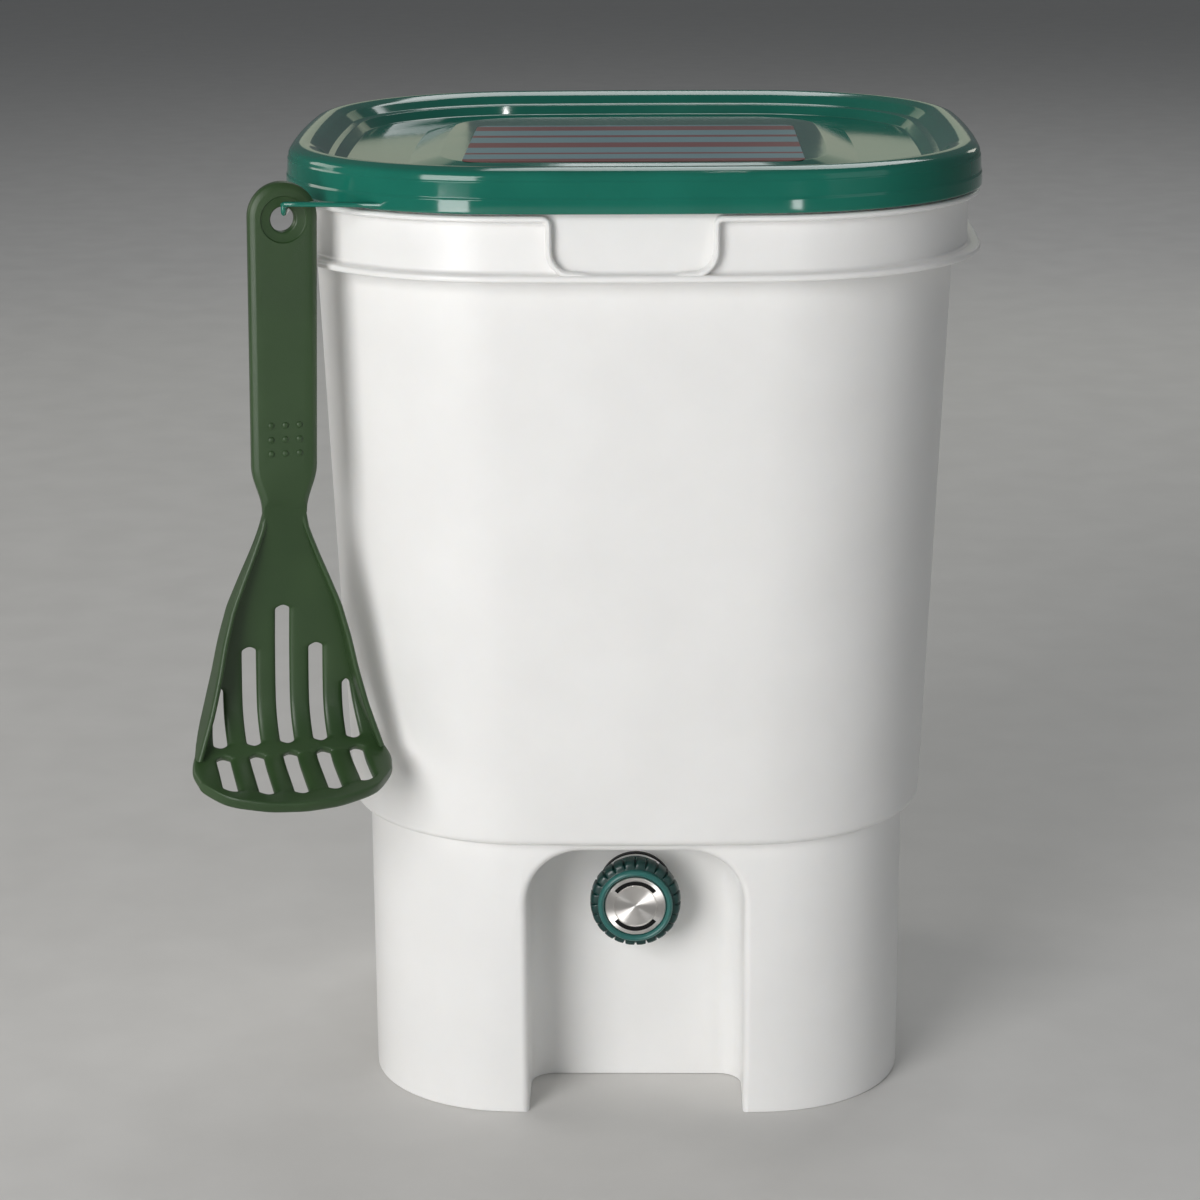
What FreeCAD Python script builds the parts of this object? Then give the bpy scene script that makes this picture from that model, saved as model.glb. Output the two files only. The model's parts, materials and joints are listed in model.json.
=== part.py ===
"""Bokashi bin: a drafted bucket on a stand with a spigot alcove, a tight lid and a hanging masher.

Millimetres. +Z is up, -Y is the front with the spigot, and the origin lies on the floor
under the middle of the bin.
"""
import math
import os

import FreeCAD
import Part

Vector = FreeCAD.Vector

# Plan of the bin: a square with slightly bowed sides and large corner rounds
side_bow = 1300.0
stand_half = 125.0
stand_corner = 67.0
body_corner = 88.0
lid_corner = 100.0

# Walls and general clearances
bucket_wall = 2.8
stand_wall = 3.0
nest_gap = 1.5
seat_gap = 0.3
running_gap = 0.05
slip_gap = 0.1

# Stand and its alcove
alcove_half = 49.0
alcove_depth = 45.0
alcove_round = 25.0
alcove_back_round = 11.0
alcove_headroom = 11.65
alcove_roof_gap = 5.0

# Bucket
spigot_height = 94.5
body_step = 8.3
body_height = 254.3
body_draft = 9.75
foot_inset = 3.0
foot_round = 5.0
collar_step = 6.45
collar_height = 37.7
flange_thick = 3.0
lower_flange_lip = 6.0
upper_flange_lip = 5.0
upper_flange_drop = 13.0
notch_half = 34.0
notch_foot_half = 24.0
notch_rib = 2.0
notch_bend = 10.0
sump_floor_gap = 4.0

# Drain grate
grate_thick = 3.0
grate_gap = 2.0
grate_hole = 6.0
grate_pitch = 14.0
grate_margin = 14.0
grate_rib_deep = 8.0
grate_rib_thick = 2.5
grate_rib_offset = 49.0
finger_hole = 22.0
finger_hole_offset = 70.0

# Lid
lid_wall = 2.6
lid_skirt_gap = 3.4
lid_skirt_drop = 12.0
lid_band_low = 6.5
lid_band_high = 13.0
lid_crown = 7.0
lid_step = 0.5
lid_shoulder = 4.0
lid_rim_width = 10.0
lid_recess = 10.0
lid_recess_slope = 10.5
lid_ledge_height = 4.0
lid_ledge_width = 3.0
plateau_half = 101.0
plateau_slope = 14.0
plateau_rise = 3.5
plateau_corner = 46.0
gasket_width = 4.0
gasket_gap = 0.2
label_wide = 150.0
label_deep = 132.0
label_forward = 16.0
label_corner = 6.0
label_thick = 0.25

# Tool hook moulded on the lid
hook_thick = 2.0
hook_deep = 4.0
hook_rise = 1.4
hook_lift = 1.2
hook_front_gap = 2.5
peg_radius = 1.1
peg_drop = 4.2
peg_past = 2.5

# Masher
masher_inset = 7.2
masher_gap = 12.3
masher_yaw = 19.5
masher_roll = 1.7
handle_half = 14.9
handle_thick = 6.0
eye_radius = 5.4
eye_drop = 1.0
eye_across = 1.6
eye_to_peg = 3.18
eye_ring = 9.7
eye_ring_sink = 0.8
eye_to_dots = 88.9
dot_pitch = 5.85
dot_radius = 1.1
dot_rise = 0.7
eye_to_shoulder = 106.4
neck_drop = 21.0
neck_half = 9.75
eye_to_bend = 207.4
head_mid_share = 0.34
head_low_share = 0.67
head_mid_half = 18.4
head_low_half = 28.3
head_bend_half = 34.0
head_foot_half = 43.9
blade_thick = 3.5
blade_lean = 4.5
bend_radius = 29.0
foot_slope = 16.0
foot_thick = 5.5
foot_half = 44.3
foot_reach = 27.0
foot_offset = 9.7
gusset_thick = 2.5
gusset_high = 1.0
gusset_low = 7.5
slot_pitch = 14.5
slot_width = 6.5
slot_rises = (40.4, 21.9, 6.5)
slot_drop = 20.6
foot_slot_back = 5.6
foot_slot_lengths = (23.0, 21.5, 16.5)

# Spigot, measured from the front of the alcove's back wall
shank_radius = 10.4
shank_bore = 7.5
shank_tail = 5.0
outer_gasket_thick = 2.2
outer_gasket_radius = 17.0
trim_ring_thick = 1.6
trim_ring_radius = 16.5
body_flange_thick = 2.0
body_flange_radius = 16.0
barrel_length = 10.7
barrel_radius = 12.5
chamber_radius = 9.0
bonnet_thick = 2.0
inner_gasket_thick = 2.5
nut_thick = 7.0
nut_flats = 30.0
spout_wall = 1.4
spout_drop = 22.0
plug_wall = 1.8
stem_radius = 4.0
o_ring_radius = 0.7
knob_radius = 20.85
knob_thick = 11.0
knob_gap = 0.5
knob_flutes = 24
flute_radius = 1.6
knob_web = 1.5
face_step = 3.0
face_ring = 17.2
face_radius = 16.2
face_depth = 1.2
disc_radius = 14.0
disc_thick = 1.2
mark_radius = 11.0
mark_width = 1.9
mark_sweep = 104.0
mark_thick = 0.3
screw_head = 3.6
screw_head_thick = 1.6
screw_radius = 1.5
screw_length = 8.0

# Heights that follow from those sizes
alcove_top = spigot_height + knob_radius + alcove_headroom
stand_height = alcove_top + stand_wall + alcove_roof_gap
nut_corner = nut_flats / math.sqrt(3)
sump_floor = spigot_height - nut_corner - sump_floor_gap - bucket_wall
ledge_z = stand_height + bucket_wall
lower_flange_z = stand_height + body_height
collar_z = lower_flange_z + flange_thick
rim_z = collar_z + collar_height
upper_flange_top = rim_z - upper_flange_drop
lid_skirt_z = rim_z - lid_skirt_drop
lid_top_z = rim_z + lid_crown
panel_z = lid_top_z - lid_recess

# Half widths that follow from those sizes
sump_half = stand_half - stand_wall - nest_gap
body_low_half = stand_half + body_step
body_high_half = body_low_half + body_draft
collar_half = body_high_half + collar_step
lid_half = collar_half + lid_skirt_gap + lid_wall
lid_top_half = lid_half - lid_shoulder - 2 * lid_step
recess_top_half = lid_top_half - lid_rim_width
recess_low_half = recess_top_half - lid_recess_slope

# Cutting blocks run this far, past the bin on every side
reach = 2.5 * lid_half

# Walls that the spigot passes through, and the half width of the bucket's bay round the alcove
alcove_wall_y = -(stand_half - alcove_depth)
bucket_wall_y = alcove_wall_y + stand_wall + seat_gap
bucket_back_y = bucket_wall_y + bucket_wall
notch_x = alcove_half + stand_wall + nest_gap


def corner_centre(half, corner):
    """Distance of a corner round's centre from both middle planes."""
    flat = side_bow - half
    return (math.sqrt(2 * (side_bow - corner) ** 2 - flat ** 2) - flat) / 2


def bowed_square(half, corner, z):
    """Closed outline of four bowed sides joined by four tangent corner rounds."""
    centre = corner_centre(half, corner)
    side = half - side_bow
    swing = math.atan2(centre, centre - side)
    edges = []
    for quarter in range(4):
        turn = quarter * math.pi / 2

        def place(x, y):
            across = x * math.cos(turn) - y * math.sin(turn)
            along = x * math.sin(turn) + y * math.cos(turn)
            return Vector(across, along, z)

        def on_side(angle):
            return place(side + side_bow * math.cos(angle), side_bow * math.sin(angle))

        def on_corner(angle):
            return place(centre + corner * math.cos(angle), centre + corner * math.sin(angle))

        corner_end = math.pi / 2 - swing
        edges.append(Part.Arc(on_side(-swing), on_side(0), on_side(swing)).toShape())
        edges.append(Part.Arc(on_corner(swing), on_corner(math.pi / 4), on_corner(corner_end)).toShape())
    return Part.Wire(edges)


def prism(half, corner, low, high):
    """Upright block with the bowed square plan."""
    return Part.Face(bowed_square(half, corner, low)).extrude(Vector(0, 0, high - low))


def stack(sections):
    """Block through (height, half width, corner) sections, joined by straight walls."""
    wires = [bowed_square(half, corner, z) for z, half, corner in sections]
    return Part.makeLoft(wires, True, True)


def box(low, high):
    """Block between two opposite corners."""
    size = [b - a for a, b in zip(low, high)]
    return Part.makeBox(size[0], size[1], size[2], Vector(*low))


def polygon(points):
    """Flat face through the given corner points."""
    return Part.Face(Part.makePolygon(points + points[:1]))


def arch(half, top, corner, back, back_round):
    """Alcove block: an arch with rounded upper corners, run forward from a rounded back."""
    left = Vector(-half, back, 0)
    left_top = Vector(-half, back, top - corner)
    top_left = Vector(-half + corner, back, top)
    top_right = Vector(half - corner, back, top)
    right_top = Vector(half, back, top - corner)
    right = Vector(half, back, 0)
    bulge = corner * (1 - math.sqrt(0.5))
    edges = [
        Part.makeLine(left, left_top),
        Part.Arc(left_top, Vector(-half + bulge, back, top - bulge), top_left).toShape(),
        Part.makeLine(top_left, top_right),
        Part.Arc(top_right, Vector(half - bulge, back, top - bulge), right_top).toShape(),
        Part.makeLine(right_top, right),
        Part.makeLine(right, left),
    ]
    block = Part.Face(Part.Wire(edges)).extrude(Vector(0, -reach, 0))
    rounded = []
    for edge in block.Edges:
        bounds = edge.BoundBox
        at_back = bounds.YMin > back - 0.01
        at_floor = bounds.ZMax < 0.01
        if at_back and not at_floor:
            rounded.append(edge)
    return block.makeFillet(back_round, rounded)


def turned(radius, start, end, x=0.0):
    """Cylinder on the spigot axis, from one distance in front of the alcove wall to another."""
    base = Vector(x, alcove_wall_y - start, spigot_height)
    return Part.makeCylinder(radius, end - start, base, Vector(0, -1, 0))


def ring(outer, inner, start, end):
    """Washer on the spigot axis."""
    return turned(outer, start, end).cut(turned(inner, start, end))


def make_stand():
    outer = prism(stand_half, stand_corner, 0, stand_height)
    inner = prism(stand_half - stand_wall, stand_corner - stand_wall, 0, stand_height)
    alcove = arch(alcove_half, alcove_top, alcove_round, alcove_wall_y, alcove_back_round)
    lining = arch(
        alcove_half + stand_wall,
        alcove_top + stand_wall,
        alcove_round + stand_wall,
        alcove_wall_y + stand_wall,
        alcove_back_round + stand_wall,
    )
    shell = outer.cut(inner).fuse(lining.common(outer)).cut(alcove)
    return shell.cut(turned(shank_radius + seat_gap, -reach / 4, reach / 4)).removeSplitter()


def lid_plan(half):
    """Corner round of a lid outline that keeps an even distance from the skirt."""
    return lid_corner - (lid_half - half)


def front_notch_rib(side):
    """Curved rib that closes one end of the gap in the upper flange."""
    low = collar_z
    high = upper_flange_top
    outer_x = notch_half + notch_rib
    bend_z = low + notch_bend
    slant = notch_half - notch_foot_half
    points = [
        Vector(side * notch_half, 0, high),
        Vector(side * notch_half, 0, bend_z),
        Vector(side * (notch_half - slant * 0.3), 0, low + notch_bend * 0.3),
        Vector(side * notch_foot_half, 0, low),
        Vector(side * (notch_foot_half + notch_rib), 0, low),
        Vector(side * (outer_x - slant * 0.3), 0, low + notch_bend * 0.3),
        Vector(side * outer_x, 0, bend_z),
        Vector(side * outer_x, 0, high),
    ]
    inner_curve = Part.Arc(points[1], points[2], points[3]).toShape()
    outer_curve = Part.Arc(points[4], points[5], points[6]).toShape()
    edges = [
        Part.makeLine(points[0], points[1]),
        inner_curve,
        Part.makeLine(points[3], points[4]),
        outer_curve,
        Part.makeLine(points[6], points[7]),
        Part.makeLine(points[7], points[0]),
    ]
    bar = Part.Face(Part.Wire(edges)).extrude(Vector(0, -reach, 0))
    lip_half = collar_half + upper_flange_lip
    return bar.common(prism(lip_half, lid_plan(lip_half), low, high))


def sump_hollow():
    """Space for the liquid below the grate, clear of the alcove."""
    corner = stand_corner - stand_wall - nest_gap - bucket_wall
    space = prism(sump_half - bucket_wall, corner, sump_floor + bucket_wall, ledge_z)
    return space.cut(box((-notch_x - bucket_wall, -reach, 0), (notch_x + bucket_wall, bucket_back_y, ledge_z)))


def make_bucket_sump():
    """Lower end of the bucket's moulding, which stands inside the stand."""
    block = prism(sump_half, stand_corner - stand_wall - nest_gap, sump_floor, stand_height)
    block = block.cut(box((-notch_x, -reach, 0), (notch_x, bucket_wall_y, stand_height)))
    block = block.cut(sump_hollow())
    return block.cut(turned(shank_radius + seat_gap, -reach / 4, reach / 4)).removeSplitter()


def make_bucket():
    """Drafted wall of the bucket's moulding, with the ledge at its foot."""
    inner_low = body_low_half - bucket_wall
    inner_corner = body_corner - bucket_wall
    outer = stack([
        (stand_height, body_low_half - foot_inset, body_corner - foot_inset),
        (stand_height + foot_round * 0.3, body_low_half - foot_inset * 0.3, body_corner - foot_inset * 0.3),
        (stand_height + foot_round, body_low_half, body_corner),
        (lower_flange_z, body_high_half, body_corner),
    ])
    inner = stack([
        (ledge_z, inner_low - foot_inset, inner_corner - foot_inset),
        (ledge_z + foot_round, inner_low, inner_corner),
        (lower_flange_z, body_high_half - bucket_wall, inner_corner),
    ])
    return outer.cut(inner.fuse(sump_hollow())).removeSplitter()


def make_bucket_flange():
    """Lower flange of the bucket's moulding."""
    lip_half = collar_half + lower_flange_lip
    plate = prism(lip_half, lid_plan(lip_half), lower_flange_z, collar_z)
    return plate.cut(prism(body_high_half - bucket_wall, body_corner - bucket_wall, lower_flange_z, collar_z))


def make_bucket_collar():
    """Upright collar of the bucket's moulding, up to its rim."""
    inner_half = collar_half - bucket_wall
    collar = prism(collar_half, lid_plan(collar_half), collar_z, rim_z)
    return collar.cut(prism(inner_half, lid_plan(inner_half), collar_z, rim_z))


def make_bucket_bead():
    """Upper flange of the bucket's moulding, with the ribs that close the finger notch."""
    lip_half = collar_half + upper_flange_lip
    low = upper_flange_top - flange_thick
    bead = prism(lip_half, lid_plan(lip_half), low, upper_flange_top)
    bead = bead.cut(box((-notch_half, -reach, low), (notch_half, 0, upper_flange_top)))
    bead = bead.fuse([front_notch_rib(1), front_notch_rib(-1)])
    return bead.cut(prism(collar_half, lid_plan(collar_half), collar_z, rim_z)).removeSplitter()


def make_drain_grate():
    half = body_low_half - bucket_wall - foot_inset - grate_gap
    corner = body_corner - bucket_wall - foot_inset - grate_gap
    plate = prism(half, corner, ledge_z, ledge_z + grate_thick)
    field = prism(half - grate_margin, corner - grate_margin, ledge_z, ledge_z + grate_thick)
    holes = []
    count = int(half / grate_pitch)
    clear = finger_hole / 2 + grate_hole
    for column in range(-count, count + 1):
        for row in range(-count, count + 1):
            x = column * grate_pitch
            y = row * grate_pitch
            from_finger = math.hypot(abs(x) - finger_hole_offset, y)
            on_rib = abs(abs(x) - grate_rib_offset) < grate_hole
            base = Vector(x, y, ledge_z)
            if from_finger > clear and not on_rib and field.isInside(base, 0.01, True):
                holes.append(Part.makeCylinder(grate_hole / 2, grate_thick, base))
    for side in (-1, 1):
        base = Vector(side * finger_hole_offset, 0, ledge_z)
        holes.append(Part.makeCylinder(finger_hole / 2, grate_thick, base))
    plate = plate.cut(Part.makeCompound(holes))
    rib_front = bucket_back_y + nest_gap + nut_thick + inner_gasket_thick + shank_tail
    rib_back = sump_half - bucket_wall - grate_margin
    ribs = []
    for side in (-1, 1):
        middle = side * grate_rib_offset
        low = (middle - grate_rib_thick / 2, rib_front, ledge_z - grate_rib_deep)
        high = (middle + grate_rib_thick / 2, rib_back, ledge_z)
        ribs.append(box(low, high))
    return plate.fuse(ribs).removeSplitter()


def lid_outer():
    """Outer form of the lid: a banded skirt under a rounded shoulder."""
    band = lid_half - lid_step
    upper = band - lid_step
    return stack([
        (lid_skirt_z, lid_half, lid_corner),
        (lid_skirt_z + lid_band_low - lid_step, lid_half, lid_corner),
        (lid_skirt_z + lid_band_low, band, lid_plan(band)),
        (lid_skirt_z + lid_band_high - lid_step, band, lid_plan(band)),
        (lid_skirt_z + lid_band_high, upper, lid_plan(upper)),
        (lid_top_z - lid_shoulder * 0.4, upper - lid_shoulder * 0.45, lid_plan(upper - lid_shoulder * 0.45)),
        (lid_top_z, lid_top_half, lid_plan(lid_top_half)),
    ])


def lid_inner():
    """Space inside the skirt, up to the roof of the rim."""
    low = lid_half - lid_wall
    high = collar_half + seat_gap
    roof = lid_top_z - lid_wall
    return stack([
        (lid_skirt_z, low, lid_plan(low)),
        (lid_skirt_z + lid_band_low, low - lid_step, lid_plan(low - lid_step)),
        (rim_z, high + seat_gap, lid_plan(high + seat_gap)),
        (roof, high - seat_gap, lid_plan(high - seat_gap)),
    ])


def lid_recess_block(grow, low, high):
    """Sunken tray of the lid, with a small ledge half way up its wall."""
    ledge_half = recess_low_half + (recess_top_half - recess_low_half - lid_ledge_width) * 0.5
    upper_half = ledge_half + lid_ledge_width
    ledge_z_low = low + lid_ledge_height
    sections = [
        (low, recess_low_half + grow),
        (ledge_z_low, ledge_half + grow),
        (ledge_z_low + lid_step, upper_half + grow),
        (high, recess_top_half + grow),
    ]
    return stack([(z, half, lid_plan(half)) for z, half in sections])


def hook_place():
    """Middle of the masher's eye across the front, and the plane of the masher's back there."""
    eye_x = -(lid_half - masher_inset)
    centre = corner_centre(lid_half, lid_corner)
    inner_edge = -eye_x - handle_half - centre
    corner_y = -centre - math.sqrt(max(lid_corner ** 2 - inner_edge ** 2, 0.0))
    back_y = corner_y - masher_gap
    return eye_x, back_y


def peg_place():
    """Axis of the hook's peg, across the front and above the floor."""
    eye_x, _ = hook_place()
    return eye_x + eye_across, lid_skirt_z + hook_rise + hook_lift - peg_drop


def eye_height():
    """Middle of the masher's eye above the floor."""
    return peg_place()[1] - eye_to_peg


def make_lid():
    roof = lid_top_z - lid_wall
    tray = lid_recess_block(0, panel_z, lid_top_z)
    plug = lid_recess_block(lid_wall, panel_z - lid_wall, roof)
    shell = lid_outer().cut(tray).cut(lid_inner().cut(plug))
    top_half = plateau_half - plateau_slope
    top_corner = plateau_corner - plateau_slope
    plateau = stack([
        (panel_z, plateau_half, plateau_corner),
        (panel_z + plateau_rise, top_half, top_corner),
    ])
    pocket = stack([
        (panel_z - lid_wall, plateau_half - lid_wall, plateau_corner - lid_wall),
        (panel_z + plateau_rise - lid_wall, top_half - lid_wall, top_corner - lid_wall),
    ])
    shell = shell.fuse(plateau).cut(pocket)

    _, back_y = hook_place()
    peg_x, peg_z = peg_place()
    back = back_y - handle_thick - hook_front_gap
    front = back - hook_deep
    tip_x = peg_x - peg_radius
    root_x = -corner_centre(lid_half, lid_corner)
    root_z = lid_skirt_z + hook_rise
    tip_z = root_z + hook_lift
    thick = Vector(0, 0, hook_thick / 2)
    arm = polygon([
        Vector(root_x, front, root_z) - thick,
        Vector(root_x, front, root_z) + thick,
        Vector(tip_x, front, tip_z) + thick,
        Vector(tip_x, front, tip_z) - thick,
    ]).extrude(Vector(0, hook_deep, 0))
    inside_half = lid_half - lid_wall
    arm = arm.cut(prism(inside_half, lid_plan(inside_half), lid_skirt_z - lid_skirt_drop, rim_z))
    tab = box((tip_x, front, peg_z - peg_radius), (tip_x + 2 * peg_radius, back, tip_z))
    peg_length = hook_deep + hook_front_gap + handle_thick + peg_past
    peg = Part.makeCylinder(peg_radius, peg_length, Vector(peg_x, front, peg_z), Vector(0, 1, 0))
    return shell.fuse([arm, tab, peg]).removeSplitter()


def make_lid_gasket():
    low = rim_z + gasket_gap
    high = lid_top_z - lid_wall - gasket_gap
    outer_half = collar_half - gasket_gap
    inner_half = outer_half - gasket_width
    outer = prism(outer_half, lid_plan(outer_half), low, high)
    return outer.cut(prism(inner_half, lid_plan(inner_half), low, high))


def make_lid_label():
    z = panel_z + plateau_rise
    front = -label_forward - label_deep / 2
    back = -label_forward + label_deep / 2
    sheet = box((-label_wide / 2, front, z), (label_wide / 2, back, z + label_thick))
    upright = [edge for edge in sheet.Edges if edge.BoundBox.ZLength > label_thick / 2]
    return sheet.makeFillet(label_corner, upright)


def head_outline(grow):
    """Front view of the masher's fan head, from the neck to the foot, as a face on y = 0."""
    eye_x, _ = hook_place()
    neck_z = eye_height() - eye_to_shoulder - neck_drop
    bend_z = eye_height() - eye_to_bend
    span = neck_z - bend_z
    mid_z = neck_z - span * head_mid_share
    low_z = neck_z - span * head_low_share
    foot_z = bend_z - bend_radius - blade_thick

    def at(half, z, side):
        return Vector(eye_x + side * (half + grow), 0, z)

    def flare(side):
        middle = at(head_mid_half, mid_z, side)
        return Part.Arc(at(neck_half, neck_z, side), middle, at(head_low_half, low_z, side)).toShape()

    edges = [
        Part.makeLine(at(neck_half, neck_z, -1), at(neck_half, neck_z, 1)),
        flare(1),
        Part.makeLine(at(head_low_half, low_z, 1), at(head_bend_half, bend_z, 1)),
        Part.makeLine(at(head_bend_half, bend_z, 1), at(head_foot_half, foot_z, 1)),
        Part.makeLine(at(head_foot_half, foot_z, 1), at(head_foot_half, foot_z, -1)),
        Part.makeLine(at(head_foot_half, foot_z, -1), at(head_bend_half, bend_z, -1)),
        Part.makeLine(at(head_bend_half, bend_z, -1), at(head_low_half, low_z, -1)),
        flare(-1),
    ]
    return Part.Face(Part.Wire(edges))


def make_masher():
    """Masher, drawn facing the front and then turned to the way it hangs."""
    eye_x, back_y = hook_place()
    front_y = back_y - handle_thick
    eye_z = eye_height()
    top_z = eye_z + eye_drop
    shoulder_z = eye_z - eye_to_shoulder
    neck_z = shoulder_z - neck_drop
    bend_z = eye_z - eye_to_bend
    along_y = Vector(0, 1, 0)

    top = Part.makeCylinder(handle_half, handle_thick, Vector(eye_x, front_y, top_z), along_y)
    bar = box((eye_x - handle_half, front_y, shoulder_z), (eye_x + handle_half, back_y, top_z))
    waist_z = (shoulder_z + neck_z) / 2
    waist_half = (handle_half + neck_half) / 2
    taper_right = []
    for half, z in ((handle_half, shoulder_z), (waist_half, waist_z), (neck_half, neck_z)):
        taper_right.append(Vector(eye_x + half, front_y, z))
    taper_left = []
    for half, z in ((neck_half, neck_z), (waist_half, waist_z), (handle_half, shoulder_z)):
        taper_left.append(Vector(eye_x - half, front_y, z))
    taper = polygon(taper_right + taper_left).extrude(Vector(0, handle_thick, 0))
    eye_start = Vector(eye_x, front_y - handle_thick, eye_z)
    eye = Part.makeCylinder(eye_radius, 3 * handle_thick, eye_start, along_y)
    eye_rim = Part.makeCylinder(eye_ring, eye_ring_sink, Vector(eye_x, front_y, eye_z), along_y)

    slope = math.radians(foot_slope)
    lean = math.radians(blade_lean)
    turn = math.pi / 2 + lean - slope
    down = Vector(0, math.sin(lean), -math.cos(lean))
    ahead = Vector(0, -math.cos(lean), -math.sin(lean))
    blade_foot = Vector(0, front_y + (neck_z - bend_z) * math.tan(lean), bend_z)
    centre = blade_foot + ahead * bend_radius

    def bend_point(offset, angle):
        return centre + (down * math.sin(angle) - ahead * math.cos(angle)) * (bend_radius + offset)

    forward = Vector(0, -math.cos(slope), -math.sin(slope)) * (2 * foot_reach)
    inner_start = bend_point(0, 0)
    inner_end = bend_point(0, turn)
    outer_start = bend_point(blade_thick, 0)
    outer_end = bend_point(foot_thick, turn)
    outer_middle = bend_point((blade_thick + foot_thick) / 2, turn / 2)
    rise = Vector(0, front_y, neck_z) - blade_foot
    strip_edges = [
        Part.makeLine(inner_start + rise, inner_start),
        Part.Arc(inner_start, bend_point(0, turn / 2), inner_end).toShape(),
        Part.makeLine(inner_end, inner_end + forward),
        Part.makeLine(inner_end + forward, outer_end + forward),
        Part.makeLine(outer_end + forward, outer_end),
        Part.Arc(outer_end, outer_middle, outer_start).toShape(),
        Part.makeLine(outer_start, outer_start + rise),
        Part.makeLine(outer_start + rise, inner_start + rise),
    ]
    strip_face = Part.Face(Part.Wire(strip_edges))
    strip_face.translate(Vector(eye_x - 2 * foot_half, 0, 0))
    strip = strip_face.extrude(Vector(4 * foot_half, 0, 0))

    fan = head_outline(0).extrude(Vector(0, reach, 0))
    fan.translate(Vector(0, -reach, 0))
    widest_y = front_y - foot_offset
    oval = Part.Ellipse(Vector(eye_x, widest_y, 0), foot_half, foot_reach)
    oval_face = Part.Face(Part.Wire([oval.toShape()]))
    oval_block = oval_face.extrude(Vector(0, 0, bend_z))
    head_zone = box((-reach, widest_y, 0), (reach, reach, reach + reach))
    foot_zone = box((-reach, -reach, 0), (reach, widest_y, bend_z))
    head = strip.common(fan).common(head_zone)
    foot = strip.common(oval_block).common(foot_zone)

    low_angle = lean + math.acos((front_y - gusset_low - centre.y) / bend_radius)
    side_points = [
        Vector(0, front_y + blade_thick / 2, neck_z),
        Vector(0, front_y - gusset_high, neck_z),
        bend_point(0, low_angle) + Vector(0, 0, gusset_thick),
    ]
    for step in range(7):
        side_points.append(bend_point(blade_thick / 2, low_angle * (1 - step / 6)))
    side_view = polygon(side_points)
    side_view.translate(Vector(eye_x - 2 * foot_half, 0, 0))
    side_block = side_view.extrude(Vector(4 * foot_half, 0, 0))
    core = head_outline(-gusset_thick).extrude(Vector(0, reach, 0))
    core.translate(Vector(0, -reach, 0))
    gussets = side_block.common(fan.cut(core))

    cutters = [eye, eye_rim]
    for column in range(-2, 3):
        x = eye_x + column * slot_pitch
        rank = abs(column)
        half = slot_width / 2
        slot_low = bend_z - slot_drop
        slot_high = bend_z + slot_rises[rank] - half
        slot_front = front_y - foot_slot_back
        slot_back = back_y + 2 * blade_thick
        cutters.append(box((x - half, slot_front, slot_low), (x + half, slot_back, slot_high)))
        cap_base = Vector(x, slot_front, slot_high)
        cutters.append(Part.makeCylinder(half, slot_back - slot_front, cap_base, along_y))
        foot_back = front_y - foot_slot_back
        foot_front = foot_back - foot_slot_lengths[rank]
        foot_top = bend_z - slot_drop
        cutters.append(box((x - half, foot_front + half, 0), (x + half, foot_back - half, foot_top)))
        for end_y in (foot_front + half, foot_back - half):
            cutters.append(Part.makeCylinder(half, foot_top, Vector(x, end_y, 0)))

    dots = []
    for column in (-1, 0, 1):
        for row in (-1, 0, 1):
            x = eye_x + column * dot_pitch
            z = eye_z - eye_to_dots - dot_pitch - row * dot_pitch
            dot_base = Vector(x, front_y - dot_rise, z)
            dots.append(Part.makeCylinder(dot_radius, 2 * dot_rise, dot_base, along_y))
    solid = top.fuse([bar, taper, head, foot, gussets] + dots)
    solid = solid.cut(Part.makeCompound(cutters)).removeSplitter()
    middle = Vector(eye_x, (front_y + back_y) / 2, eye_z)
    solid.rotate(middle, Vector(0, 0, 1), masher_yaw)
    solid.rotate(middle, along_y, masher_roll)
    return solid


# Places along the spigot axis, as distances in front of the alcove's back wall
trim_ring_at = outer_gasket_thick
flange_at = trim_ring_at + trim_ring_thick
barrel_at = flange_at + body_flange_thick
bonnet_at = barrel_at + barrel_length
knob_at = bonnet_at + knob_gap
pocket_end = bonnet_at + bonnet_thick + knob_gap
knob_end = knob_at + knob_thick
disc_at = knob_end - face_depth - disc_thick
screw_at = disc_at - slip_gap - screw_head_thick
stem_end = screw_at - knob_web
inner_gasket_at = alcove_wall_y - bucket_back_y
nut_at = inner_gasket_at - inner_gasket_thick
shank_end = nut_at - nut_thick - shank_tail
spout_middle = barrel_at + barrel_length / 2
spout_radius = barrel_length / 2 - seat_gap
spout_bore = spout_radius - spout_wall


def make_spigot_body():
    body = turned(body_flange_radius, flange_at, barrel_at)
    barrel = turned(barrel_radius, barrel_at, bonnet_at)
    shank = turned(shank_radius, shank_end, flange_at)
    spout_base = Vector(0, alcove_wall_y - spout_middle, spigot_height - spout_drop)
    spout = Part.makeCylinder(spout_radius, spout_drop, spout_base)
    spout_hole = Part.makeCylinder(spout_bore, spout_drop, spout_base)
    solid = body.fuse([barrel, shank, spout])
    hollow = turned(chamber_radius, barrel_at - body_flange_thick / 2, bonnet_at)
    return solid.cut(turned(shank_bore, shank_end, bonnet_at).fuse([hollow, spout_hole])).removeSplitter()


def make_lock_nut():
    points = []
    for corner in range(6):
        angle = math.radians(30 + 60 * corner)
        x = nut_corner * math.cos(angle)
        z = spigot_height + nut_corner * math.sin(angle)
        points.append(Vector(x, alcove_wall_y - nut_at, z))
    block = polygon(points).extrude(Vector(0, nut_thick, 0))
    return block.cut(turned(shank_radius + running_gap, nut_at - nut_thick, nut_at))


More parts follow.
